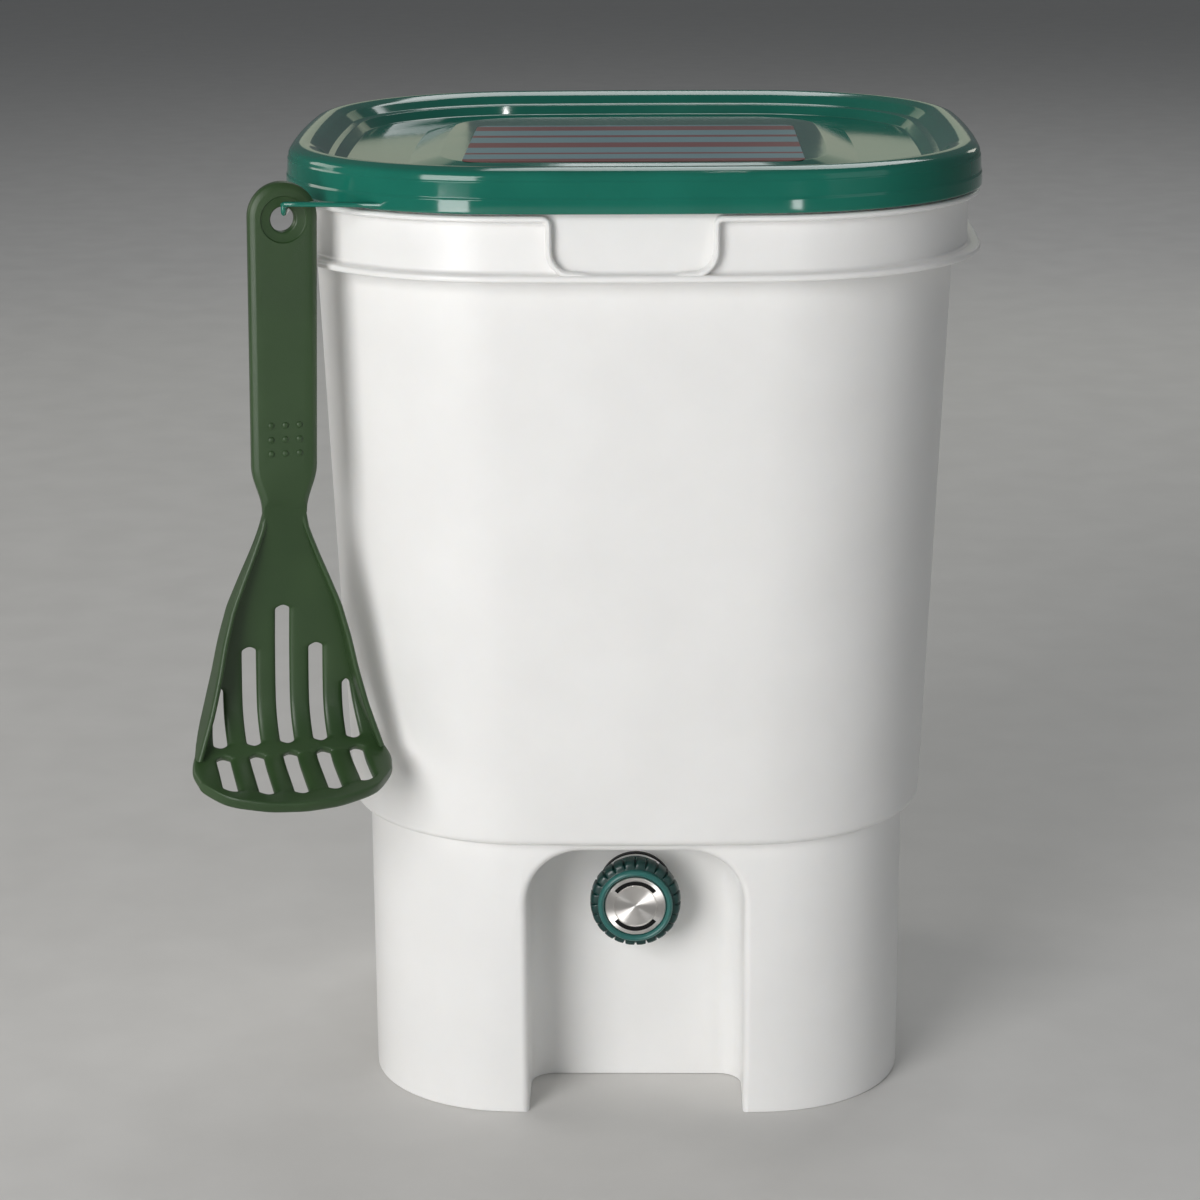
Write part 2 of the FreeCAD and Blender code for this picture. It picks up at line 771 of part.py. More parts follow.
def make_valve_plug():
    """Cup-shaped rotary plug with a side window, and the stem that carries the knob."""
    start = barrel_at - body_flange_thick / 2 + slip_gap
    end = bonnet_at - slip_gap
    radius = chamber_radius - running_gap
    cup = turned(radius, start, end).cut(turned(radius - plug_wall, start, end - plug_wall))
    window_base = Vector(0, alcove_wall_y - spout_middle, spigot_height)
    window = Part.makeCylinder(spout_bore - running_gap, 2 * radius, window_base, Vector(1, 0, 0))
    stem = turned(stem_radius, end - plug_wall, stem_end - slip_gap)
    groove_at = bonnet_at + bonnet_thick / 2
    floor = stem_radius - 2 * o_ring_radius + running_gap
    groove = ring(stem_radius + slip_gap, floor, groove_at - o_ring_radius, groove_at + o_ring_radius)
    screw_hole = turned(screw_radius + slip_gap, screw_at - screw_length - slip_gap, stem_end)
    return cup.cut(window).fuse(stem).cut(groove.fuse(screw_hole))


def make_stem_o_ring():
    place = Vector(0, alcove_wall_y - bonnet_at - bonnet_thick / 2, spigot_height)
    middle = stem_radius - o_ring_radius + running_gap / 2
    thin = o_ring_radius - running_gap / 2
    return Part.makeTorus(middle, thin, place, Vector(0, 1, 0))


def make_knob():
    solid = turned(knob_radius, knob_at, knob_end - face_step)
    flutes = []
    for step in range(knob_flutes):
        angle = 2 * math.pi * step / knob_flutes
        out = knob_radius + flute_radius * 0.4
        place = Vector(out * math.cos(angle), alcove_wall_y - knob_at, spigot_height + out * math.sin(angle))
        flutes.append(Part.makeCylinder(flute_radius, knob_thick - face_step, place, Vector(0, -1, 0)))
    solid = solid.cut(Part.makeCompound(flutes)).fuse(turned(face_ring, knob_at, knob_end))
    face_base = Vector(0, alcove_wall_y - knob_end + face_depth, spigot_height)
    face = Part.makeCone(disc_radius + slip_gap, face_radius, face_depth, face_base, Vector(0, -1, 0))
    seat = turned(disc_radius + slip_gap, disc_at, knob_end - face_depth)
    head_room = turned(screw_head + slip_gap, screw_at, disc_at)
    screw_way = turned(screw_radius + slip_gap, stem_end, screw_at)
    stem_way = turned(stem_radius + slip_gap, knob_at, stem_end)
    pocket = turned(barrel_radius + knob_gap, knob_at, pocket_end)
    return solid.cut(face.fuse([seat, head_room, screw_way, stem_way, pocket])).removeSplitter()


def make_dial_marks():
    """Two dark arcs on the steel disc, above and below its middle."""
    band = ring(mark_radius + mark_width / 2, mark_radius - mark_width / 2, disc_at + disc_thick, mark_end())
    spread = math.tan(math.radians(mark_sweep / 2)) * knob_radius
    marks = []
    for side in (-1, 1):
        wedge = polygon([
            Vector(0, alcove_wall_y, spigot_height),
            Vector(-spread, alcove_wall_y, spigot_height + side * knob_radius),
            Vector(spread, alcove_wall_y, spigot_height + side * knob_radius),
        ]).extrude(Vector(0, -reach / 4, 0))
        marks.append(band.common(wedge).Solids[0])
    return Part.makeCompound(marks)


def mark_end():
    """Front of the dial marks."""
    return disc_at + disc_thick + mark_thick


def make_knob_screw():
    head = turned(screw_head, screw_at, screw_at + screw_head_thick)
    return head.fuse(turned(screw_radius, screw_at - screw_length, screw_at)).removeSplitter()


gasket_bore = shank_radius + running_gap
pieces = {
    "stand": make_stand(),
    "bucket": make_bucket(),
    "bucket_sump": make_bucket_sump(),
    "bucket_flange": make_bucket_flange(),
    "bucket_collar": make_bucket_collar(),
    "bucket_bead": make_bucket_bead(),
    "drain_grate": make_drain_grate(),
    "lid": make_lid(),
    "lid_gasket": make_lid_gasket(),
    "lid_label": make_lid_label(),
    "masher": make_masher(),
    "outer_gasket": ring(outer_gasket_radius, gasket_bore, 0, trim_ring_at),
    "trim_ring": ring(trim_ring_radius, gasket_bore, trim_ring_at, flange_at),
    "spigot_body": make_spigot_body(),
    "inner_gasket": ring(outer_gasket_radius, gasket_bore, nut_at, inner_gasket_at),
    "lock_nut": make_lock_nut(),
    "valve_plug": make_valve_plug(),
    "stem_o_ring": make_stem_o_ring(),
    "bonnet": ring(barrel_radius, stem_radius + running_gap, bonnet_at, bonnet_at + bonnet_thick),
    "knob": make_knob(),
    "knob_screw": make_knob_screw(),
    "knob_disc": turned(disc_radius, disc_at, disc_at + disc_thick),
    "dial_marks": make_dial_marks(),
}

os.makedirs("parts", exist_ok=True)
for name, shape in pieces.items():
    shape.exportStep("parts/" + name + ".step")
    print(name, "valid" if shape.isValid() else "INVALID", len(shape.Solids), round(shape.Volume))
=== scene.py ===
"""Bokashi bin: a moulded bucket on its stand, with spigot, grate, lid and masher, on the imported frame."""
import json
import math

import bmesh
import bpy
from mathutils import Matrix, Quaternion, Vector


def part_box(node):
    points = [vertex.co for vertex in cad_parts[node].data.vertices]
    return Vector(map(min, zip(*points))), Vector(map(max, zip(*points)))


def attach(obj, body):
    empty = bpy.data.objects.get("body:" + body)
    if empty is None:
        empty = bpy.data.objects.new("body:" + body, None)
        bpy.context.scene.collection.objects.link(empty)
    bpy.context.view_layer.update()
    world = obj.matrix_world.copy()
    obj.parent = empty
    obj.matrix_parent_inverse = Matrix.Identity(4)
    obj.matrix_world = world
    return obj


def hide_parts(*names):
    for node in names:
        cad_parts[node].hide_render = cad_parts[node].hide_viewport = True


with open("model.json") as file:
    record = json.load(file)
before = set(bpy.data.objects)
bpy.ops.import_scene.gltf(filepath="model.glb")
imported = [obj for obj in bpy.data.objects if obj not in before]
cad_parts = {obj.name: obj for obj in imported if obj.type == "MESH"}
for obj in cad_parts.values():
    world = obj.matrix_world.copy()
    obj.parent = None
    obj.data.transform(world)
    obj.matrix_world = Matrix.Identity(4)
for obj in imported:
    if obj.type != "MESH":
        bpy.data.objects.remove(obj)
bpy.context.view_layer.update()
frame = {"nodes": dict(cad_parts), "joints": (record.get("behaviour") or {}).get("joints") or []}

# Stand
# An open skirt of white polypropylene that carries the bucket on its upper edge. It is injection moulded in
# one piece with the rounded alcove in its front, which keeps the spigot and a cup back from the edge.
stand_low, stand_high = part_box("stand")
stand_half = stand_high.x
seam_drop = 0.003
stand_top = stand_high.z - seam_drop
stand_corner = 0.067
stand_wall = 0.003
stand_edge_round = 0.0012
stand_inner_round = 0.0006
stand_foot_round = 0.001
side_bow = 1.3
side_steps = 10
corner_steps = 24
round_steps = 5
weld_gap = 1e-6


def bow_places(half, corner):
    """Distances of the centres of a bowed side's arc and of a round corner from the plan's middle."""
    flat = side_bow - half
    return flat, (math.sqrt(2 * (side_bow - corner) ** 2 - flat ** 2) - flat) / 2


def bowed_square(half, corner, z):
    """Points of a square outline with bowed sides and round corners."""
    flat, centre = bow_places(half, corner)
    swing = math.atan2(centre, centre + flat)
    side = []
    for step in range(side_steps):
        angle = swing * (2 * step / side_steps - 1)
        side.append((side_bow * math.cos(angle) - flat, side_bow * math.sin(angle)))
    for step in range(corner_steps):
        angle = swing + (math.pi / 2 - 2 * swing) * step / corner_steps
        side.append((centre + corner * math.cos(angle), centre + corner * math.sin(angle)))
    points = []
    for across, along in ((1, 0), (0, 1), (-1, 0), (0, -1)):
        for x, y in side:
            points.append(Vector((x * across - y * along, x * along + y * across, z)))
    return points


def rounded(profile):
    """Stations (half, z, corner) along a profile of (half, z, corner, round), rounded where it says so."""
    stations = []
    for index, (half, z, corner, radius) in enumerate(profile):
        if radius == 0:
            stations.append((half, z, corner))
            continue
        here = Vector((half, z))
        last = profile[index - 1]
        after = profile[index + 1]
        back = Vector(last[:2]) - here
        on = Vector(after[:2]) - here
        bend = back.angle(on)
        cut = radius / math.tan(bend / 2)
        start = back.normalized() * cut
        end = on.normalized() * cut
        middle = (start + end).normalized() * (radius / math.sin(bend / 2))
        corner_start = corner + (last[2] - corner) * cut / back.length
        corner_end = corner + (after[2] - corner) * cut / on.length
        spoke = start - middle
        across = spoke.x * (end - middle).y - spoke.y * (end - middle).x
        sweep = math.copysign(math.pi - bend, across)
        for step in range(round_steps + 1):
            share = step / round_steps
            place = here + middle + Matrix.Rotation(sweep * share, 2) @ spoke
            stations.append((place.x, place.y, corner_start + (corner_end - corner_start) * share))
    return stations


def skin(name, loops, tube=False):
    """Closed mesh through loops of points: a circle is laid on the first and extruded to each next."""
    bpy.ops.mesh.primitive_circle_add(vertices=len(loops[0]))
    piece = bpy.context.object
    piece.name = name
    piece.data.name = name
    bpy.ops.object.mode_set(mode="EDIT")
    mesh = bmesh.from_edit_mesh(piece.data)
    order = mesh.verts.layers.int.new("order")
    for index, vert in enumerate(mesh.verts):
        vert[order] = index
        vert.co = loops[0][index]
    for loop in loops[1:]:
        bpy.ops.mesh.extrude_region_move()
        mesh = bmesh.from_edit_mesh(piece.data)
        order = mesh.verts.layers.int["order"]
        for vert in mesh.verts:
            if vert.select:
                vert.co = loop[vert[order]]
    bpy.ops.mesh.select_mode(type="EDGE")
    if not tube:
        bpy.ops.mesh.edge_face_add()
    bpy.ops.mesh.select_all(action="DESELECT")
    bpy.ops.mesh.select_non_manifold()
    if tube:
        bpy.ops.mesh.bridge_edge_loops()
    else:
        bpy.ops.mesh.edge_face_add()
    bpy.ops.mesh.select_mode(type="VERT")
    bpy.ops.mesh.select_all(action="SELECT")
    bpy.ops.mesh.remove_doubles(threshold=weld_gap)
    bpy.ops.mesh.normals_make_consistent()
    bpy.ops.object.mode_set(mode="OBJECT")
    return piece


def choose(piece):
    """Selects one piece alone and makes it active."""
    bpy.ops.object.select_all(action="DESELECT")
    piece.select_set(True)
    bpy.context.view_layer.objects.active = piece


def combine(piece, tool, operation):
    """Joins a tool to a piece or cuts it from the piece, and removes the tool."""
    choose(piece)
    change = piece.modifiers.new("combine", "BOOLEAN")
    change.operation = operation
    change.solver = "EXACT"
    change.object = tool
    bpy.ops.object.modifier_apply(modifier=change.name)
    bpy.data.objects.remove(tool)


def smooth(piece, angle=32):
    """Smooths a finished piece and keeps its crisp edges."""
    choose(piece)
    bpy.ops.object.shade_smooth_by_angle(angle=math.radians(angle))


def bowed_skin(name, profile, tube=False):
    """Closed mesh with the bowed square plan, through the stations of a profile."""
    return skin(name, [bowed_square(half, corner, z) for half, z, corner in rounded(profile)], tube)


def quarter(steps):
    """Cosine and sine at even steps of a quarter turn, with both its ends."""
    angles = [math.pi / 2 * step / steps for step in range(steps + 1)]
    return [(math.cos(angle), math.sin(angle)) for angle in angles]


def both_sides(run, crest):
    """Right half of an outline of (x, z), the height of its crest and the mirrored left half."""
    return run + [(0, crest)] + [(-x, z) for x, z in reversed(run)]


def stand_front(x):
    """Front surface of the stand at a distance from its middle."""
    return side_bow - stand_half - math.sqrt(side_bow ** 2 - x ** 2)


alcove_half = 0.049
alcove_top = 0.127
alcove_deep = 0.045
alcove_round = 0.025
alcove_back_round = 0.011
alcove_mouth_round = 0.0035
alcove_wall_y = stand_low.y + alcove_deep
alcove_turn_steps = 6
arch_leg_steps = 6
arch_bend_steps = 12
arch_top_steps = 5


def arch(grow, foot, place):
    """Loop of the alcove's outline, grown evenly, with its depth given by a function of x."""
    half = alcove_half + grow
    top = alcove_top + grow
    corner = alcove_round + grow
    run = []
    for step in range(arch_leg_steps):
        run.append((half, foot + (top - corner - foot) * step / arch_leg_steps))
    for across, up in quarter(arch_bend_steps)[:-1]:
        run.append((half - corner + corner * across, top - corner + corner * up))
    for step in range(arch_top_steps):
        run.append(((half - corner) * (1 - step / arch_top_steps), top))
    return [Vector((x, place(x), z)) for x, z in both_sides(run, top)]


def arch_block(name, grow, foot, back, front_loops):
    """Solid of the alcove's form: a rounded back, then the given loops towards the front."""
    loops = []
    turn = alcove_back_round + grow
    for along, out in quarter(alcove_turn_steps):
        y = back - turn * (1 - along)
        loops.append(arch(grow - turn * (1 - out), foot, lambda x, y=y: y))
    return skin(name, loops + front_loops)


lining_foot = 0.0003
cut_foot = -0.02
cut_ahead = 0.01
lining_front = arch(stand_wall, lining_foot, lambda x: stand_front(x) + stand_wall / 2)
lining = arch_block("lining", stand_wall, lining_foot, alcove_wall_y + stand_wall, [lining_front])
mouth_loops = []
for along, out in quarter(alcove_turn_steps):
    deep = alcove_mouth_round * (1 - out)
    wide = alcove_mouth_round * (1 - along)
    mouth_loops.append(arch(wide, cut_foot, lambda x, deep=deep: stand_front(x) + deep))
mouth_loops.append(arch(alcove_mouth_round, cut_foot, lambda x: stand_front(x) - cut_ahead))
alcove = arch_block("alcove", 0, cut_foot, alcove_wall_y, mouth_loops)
stand_inner = stand_half - stand_wall
stand_inner_corner = stand_corner - stand_wall
stand = bowed_skin("stand_shell", [
    (stand_half, stand_top / 2, stand_corner, 0),
    (stand_half, stand_top, stand_corner, stand_edge_round),
    (stand_inner, stand_top, stand_inner_corner, stand_inner_round),
    (stand_inner, 0, stand_inner_corner, stand_inner_round),
    (stand_half, 0, stand_corner, stand_foot_round),
    (stand_half, stand_top / 4, stand_corner, 0),
], tube=True)
combine(stand, lining, "UNION")
combine(stand, alcove, "DIFFERENCE")
spigot_height = sum(corner.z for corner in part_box("knob_disc")) / 2
turned_steps = 96
shank_hole = 0.0107
shank_reach = 0.02


def hoop(x, z, radius, y, steps):
    """Circle at a depth, about an axis that runs from front to back."""
    points = []
    for step in range(steps):
        angle = 2 * math.pi * step / steps
        points.append(Vector((x + radius * math.cos(angle), y, z + radius * math.sin(angle))))
    return points


def turned(radius, distance):
    """Circle about the spigot's axis, at a distance in front of the alcove's back wall."""
    return hoop(0, spigot_height, radius, alcove_wall_y - distance, turned_steps)


def shank_way():
    """Bar that cuts the hole for the spigot's shank."""
    return skin("way", [turned(shank_hole, -shank_reach), turned(shank_hole, shank_reach)])


combine(stand, shank_way(), "DIFFERENCE")
smooth(stand)
cloud_scale = 22.0
cloud_detail = 5.0
cloud_range = (0.3, 0.7)
shade_range = (0.35, 0.65)
grain_detail = 3.0


def feed(tree, node, inputs):
    """Sets the inputs of a shader node to values, or wires them to outputs of other nodes."""
    for name, value in inputs.items():
        if isinstance(value, bpy.types.NodeSocket):
            tree.links.new(value, node.inputs[name])
        else:
            node.inputs[name].default_value = value


def add(tree, kind, inputs):
    """New shader node with its inputs."""
    node = tree.nodes.new(kind)
    feed(tree, node, inputs)
    return node


def ramp(tree, share, stops, blend):
    """Colours that follow a share from 0 to 1, with stops of (share, colour)."""
    node = add(tree, "ShaderNodeValToRGB", {"Fac": share})
    node.color_ramp.interpolation = blend
    marks = node.color_ramp.elements
    marks.remove(marks[1])
    marks[0].position = stops[0][0]
    marks[0].color = (*stops[0][1], 1)
    for place, colour in stops[1:]:
        marks.new(place).color = (*colour, 1)
    return node.outputs["Color"]


def surface(name, gloss, shades=None, grain=None, **settings):
    """New material: roughness and colour drift with a soft cloud, and it may have a fine moulded grain."""
    material = bpy.data.materials.new(name)
    material.use_nodes = True
    tree = material.node_tree
    where = add(tree, "ShaderNodeTexCoord", {}).outputs["Object"]
    noise = add(tree, "ShaderNodeTexNoise", {"Vector": where, "Scale": cloud_scale, "Detail": cloud_detail})
    cloud = noise.outputs["Fac"]
    spread = add(tree, "ShaderNodeMapRange", {
        "Value": cloud,
        "From Min": cloud_range[0],
        "From Max": cloud_range[1],
        "To Min": gloss[0],
        "To Max": gloss[1],
    })
    inputs = {setting.replace("_", " "): value for setting, value in settings.items()}
    inputs["Roughness"] = spread.outputs["Result"]
    if shades:
        inputs["Base Color"] = ramp(tree, cloud, list(zip(shade_range, shades)), "LINEAR")
    if grain:
        scale, strength, height = grain
        fine = add(tree, "ShaderNodeTexNoise", {"Vector": where, "Scale": scale, "Detail": grain_detail})
        relief = {"Height": fine.outputs["Fac"], "Strength": strength, "Distance": height}
        inputs["Normal"] = add(tree, "ShaderNodeBump", relief).outputs["Normal"]
    feed(tree, tree.nodes["Principled BSDF"], inputs)
    return material


white_plastic = surface(
    "satin_white_plastic",
    (0.28, 0.38),
    shades=((0.86, 0.855, 0.84), (0.89, 0.885, 0.87)),
    grain=(900.0, 0.12, 0.0002),
    Subsurface_Weight=0.12,
    Subsurface_Radius=(1.0, 0.85, 0.7),
    Subsurface_Scale=0.004,
)
stand.data.materials.append(white_plastic)
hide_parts("stand")
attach(stand, "bin")

# Bucket
# The white polypropylene pail: a drafted wall over a narrower sump that drops into the stand. It is one
# injection moulding with two flanges below its rim. The upper turns down at the front round a finger notch.
sump_low, sump_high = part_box("bucket_sump")
collar_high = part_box("bucket_collar")[1]
flange_low, flange_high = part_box("bucket_flange")
pail_wall = 0.0028
sump_half = sump_high.x
sump_floor = sump_low.z
sump_corner = 0.0625
sump_round = 0.005
floor_inset = 0.02
pail_low_half = 0.1333
pail_high_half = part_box("bucket")[1].x
pail_corner = 0.088
seam_round = 0.0004
shoulder_round = 0.0045
ledge_z = stand_high.z + pail_wall
collar_half = collar_high.x
flange_half = flange_high.x
flange_round = 0.0014
grip_round = 0.0018
rim_round = 0.0012
rim_inset = 0.01
rim_z = collar_high.z
lid_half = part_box("lid")[1].x
lid_corner = 0.1


def rim_corner(half):
    """Corner round of an outline that keeps an even distance from the lid's skirt."""
    return lid_corner - (lid_half - half)


def rim_station(half, z, radius=0.0):
    """Corner of a profile whose outline keeps an even distance from the lid's skirt."""
    return half, z, rim_corner(half), radius


pail = bowed_skin("bucket_shell", [
    (sump_half - floor_inset, sump_floor, sump_corner - floor_inset, 0),
    (sump_half, sump_floor, sump_corner, sump_round),
    (sump_half, stand_top, sump_corner, seam_round),
    (pail_low_half, stand_top, pail_corner, shoulder_round),
    (pail_high_half, flange_low.z, pail_corner, grip_round),
    rim_station(flange_half, flange_low.z, rim_round),
    rim_station(flange_half, flange_high.z, flange_round),
    rim_station(collar_half, flange_high.z, grip_round),
    rim_station(collar_half, rim_z, rim_round),
    rim_station(collar_half - rim_inset, rim_z),
])
cavity_half = sump_half - pail_wall
cavity_corner = sump_corner - pail_wall
cavity_floor = sump_floor + pail_wall
cavity_round = 0.004
ledge_lip_round = 0.0008
ledge_back_round = 0.003
shoulder_extra = 0.001
throat_round = 0.002
throat_rise = 0.001
mouth_half = pail_high_half - pail_wall
mouth_corner = pail_corner - pail_wall
collar_inner = collar_half - pail_wall
brim_half = collar_inner + 0.0016
brim_z = rim_z + 0.00002
cut_above = 0.01
cavity = bowed_skin("cavity", [
    (sump_half - floor_inset, cavity_floor, sump_corner - floor_inset, 0),
    (cavity_half, cavity_floor, cavity_corner, cavity_round),
    (cavity_half, ledge_z, cavity_corner, ledge_lip_round),
    (pail_low_half - pail_wall - shoulder_extra, ledge_z, mouth_corner - shoulder_extra, ledge_back_round),
    (mouth_half, flange_low.z + throat_rise, mouth_corner, throat_round),
    rim_station(collar_inner, flange_high.z, throat_round),
    rim_station(collar_inner, brim_z, rim_round),
    rim_station(brim_half, brim_z),
    rim_station(brim_half, rim_z + cut_above),
])
bay_half = alcove_half + stand_wall + 0.0015
bay_back = alcove_wall_y + stand_wall + 0.0003
bay_deep = 0.2
bay_round = 0.006
bay_round_steps = 6


def bay(half, back, top):
    """Block that keeps the sump clear of the alcove, with its upright edges rounded."""
    bpy.ops.mesh.primitive_cube_add(size=1)
    block = bpy.context.object
    bpy.ops.transform.resize(value=(2 * half, bay_deep, 2 * top))
    bpy.ops.transform.translate(value=(0, back - bay_deep / 2, 0))
    bpy.ops.object.transform_apply()
    bpy.ops.object.mode_set(mode="EDIT")
    bpy.ops.mesh.select_all(action="DESELECT")
    mesh = bmesh.from_edit_mesh(block.data)
    for edge in mesh.edges:
        upright = abs(edge.verts[0].co.z - edge.verts[1].co.z) > top
        at_back = edge.verts[0].co.y > back - bay_deep / 2
        edge.select_set(upright and at_back)
    bpy.ops.mesh.bevel(offset=bay_round, segments=bay_round_steps)
    bpy.ops.object.mode_set(mode="OBJECT")
    return block


combine(pail, bay(bay_half, bay_back, stand_top), "DIFFERENCE")
combine(cavity, bay(bay_half + pail_wall, bay_back + pail_wall, ledge_z), "DIFFERENCE")
combine(pail, cavity, "DIFFERENCE")
combine(pail, shank_way(), "DIFFERENCE")

bead_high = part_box("bucket_bead")[1]
bead_thick = 0.0026
bead_lip = bead_high.x - collar_half
bead_mid = bead_high.z - bead_thick / 2
bead_floor = flange_high.z - 0.001
bead_step = 0.005
notch_half = 0.035
notch_foot = 0.025
notch_bend = 0.010
notch_turn = 0.0026
notch_bend_steps = 8
notch_turn_steps = 5
foot_run = 0.009
foot_sink = bead_thick / 2 + 0.0003
foot_steps = 5
collar_outline = bowed_square(collar_half, rim_corner(collar_half), 0)
outline_front = 3 * (side_steps + corner_steps) + side_steps // 2
outline_walk = collar_outline[outline_front:] + collar_outline[:outline_front + 1]
outline_lengths = [0.0]
for before, after in zip(outline_walk, outline_walk[1:]):
    outline_lengths.append(outline_lengths[-1] + (after - before).length)
collar_length = outline_lengths[-1]


def on_collar(along):
    """Point and outward direction on the collar, at a walk from the front's middle to the right."""
    along = along % collar_length
    index = 0
    while outline_lengths[index + 1] < along:
        index += 1
    span = outline_lengths[index + 1] - outline_lengths[index]
    share = (along - outline_lengths[index]) / span
    count = len(outline_walk) - 1
    outs = []
    for spot in (index, index + 1):
        run = outline_walk[(spot + 1) % count] - outline_walk[(spot - 1) % count]
        outs.append(Vector((run.y, -run.x, 0)).normalized())
    place = outline_walk[index].lerp(outline_walk[index + 1], share)
    return place, outs[0].lerp(outs[1], share).normalized()


bead_path = []
for step in range(foot_steps):
    share = 1 - step / foot_steps
    bead_path.append((notch_foot - foot_run * share, flange_high.z - foot_sink * share ** 2))
for up, along in quarter(notch_bend_steps):
    bead_path.append((notch_foot + notch_bend * along, flange_high.z + notch_bend * (1 - up)))
for along, up in quarter(notch_turn_steps):
    bead_path.append((notch_half + notch_turn * (1 - along), bead_mid - notch_turn * (1 - up)))
walk = notch_half + notch_turn
while walk + bead_step < collar_length / 2:
    walk += bead_step
    bead_path.append((walk, bead_mid))
bead_path += [(collar_length - along, up) for along, up in reversed(bead_path)]
bead_edge = [(-1, -0.3), (-1, 0.8), (-0.75, 0.93), (-0.35, 1)]
bead_section = bead_edge + [(-across, out) for across, out in reversed(bead_edge)]
bead_loops = []
for index, (along, up) in enumerate(bead_path):
    before = Vector(bead_path[max(index - 1, 0)])
    after = Vector(bead_path[min(index + 1, len(bead_path) - 1)])
    run = (after - before).normalized()
    loop = []
    for across, out in bead_section:
        shift = across * bead_thick / 2
        place, outward = on_collar(along - run.y * shift)
        height = max(up + run.x * shift, bead_floor)
        loop.append(place + outward * (out * bead_lip) + Vector((0, 0, height)))
    bead_loops.append(loop)
combine(pail, skin("bead", bead_loops), "UNION")
smooth(pail)
pail.data.materials.append(white_plastic)
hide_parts("bucket", "bucket_sump", "bucket_flange", "bucket_collar", "bucket_bead")
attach(pail, "bin")

# Spigot
# A plastic tap clamped through stand and sump: a black washer and a bright ring in front, a washer and a
# hexagon nut inside. A cup-shaped plug turns in its barrel, under a bonnet with an O-ring on the stem.
rubber = surface(
    "black_rubber",
    (0.45, 0.6),
    shades=((0.008,) * 3, (0.016,) * 3),
    grain=(1500.0, 0.3, 0.0002),
    Specular_IOR_Level=0.3,
)
bright_metal = surface("bright_plated_metal", (0.18, 0.26), shades=((0.85,) * 3, (0.92,) * 3), Metallic=1.0)
teal_plastic = surface(
    "dark_teal_plastic",
    (0.16, 0.26),
    shades=((0.010, 0.075, 0.066), (0.013, 0.09, 0.08)),
    grain=(1200.0, 0.08, 0.0002),
)
plug_plastic = surface("white_acetal", (0.35, 0.45), shades=((0.82, 0.82, 0.8), (0.86, 0.86, 0.84)))


def finish_nodes(material, *nodes):
    """Gives solids that stay as they are their own finish."""
    for node in nodes:
        solid = frame["nodes"][node]
        solid.data.materials.clear()
        solid.data.materials.append(material)


finish_nodes(rubber, "outer_gasket", "inner_gasket", "stem_o_ring")
finish_nodes(bright_metal, "knob_screw")
finish_nodes(teal_plastic, "spigot_body", "lock_nut", "bonnet")
finish_nodes(plug_plastic, "valve_plug")
trim_low, trim_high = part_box("trim_ring")
trim_hole = 0.0106
trim_radius = trim_high.x
trim_back = alcove_wall_y - trim_high.y
trim_thick = trim_high.y - trim_low.y
trim_steps = 8
trim_loops = [turned(trim_hole, trim_back), turned(trim_radius, trim_back)]
for out, ahead in quarter(trim_steps):
    trim_loops.append(turned(trim_radius - trim_thick * (1 - out), trim_back + trim_thick * ahead))
trim_loops.append(turned(trim_hole, trim_back + trim_thick))
trim = skin("trim_bright", trim_loops, tube=True)
smooth(trim)
trim.data.materials.append(bright_metal)
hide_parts("trim_ring")
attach(trim, "bin")

# Knob
# The tap's dark teal knob, moulded with two dozen grip pads between narrow grooves. Its smooth front ring
# frames a spun steel disc, which hides the screw, and two printed arcs on the disc show how far it turns.
knob_low, knob_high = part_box("knob")
disc_low, disc_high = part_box("knob_disc")
knob_radius = knob_high.x
knob_back = alcove_wall_y - knob_high.y
knob_front = alcove_wall_y - knob_low.y
disc_back = alcove_wall_y - disc_high.y
disc_front = alcove_wall_y - disc_low.y
disc_radius = disc_high.x
pad_count = 24
# Share of a pad's width, and share of the groove's depth there.
pad_spots = (
    (0, 1), (0.05, 0.85), (0.085, 0.3), (0.13, 0.03), (0.3, 0),
    (0.5, -0.04), (0.7, 0), (0.87, 0.03), (0.915, 0.3), (0.95, 0.85),
)


def knurled(radius, distance, groove):
    """Circle about the spigot's axis with the grooves between the grip pads."""
    points = []
    for pad in range(pad_count):
        for share, deep in pad_spots:
            angle = 2 * math.pi * (pad + share) / pad_count
            out = min(radius - groove * deep, knob_radius)
            x = out * math.cos(angle)
            points.append(Vector((x, alcove_wall_y - distance, spigot_height + out * math.sin(angle))))
    return points


groove_deep = 0.0017
ring_radius = 0.0171
ring_high = 0.003
face_at = knob_front - ring_high
bore_radius = 0.0041
hollow_floor = knob_back + 0.0022
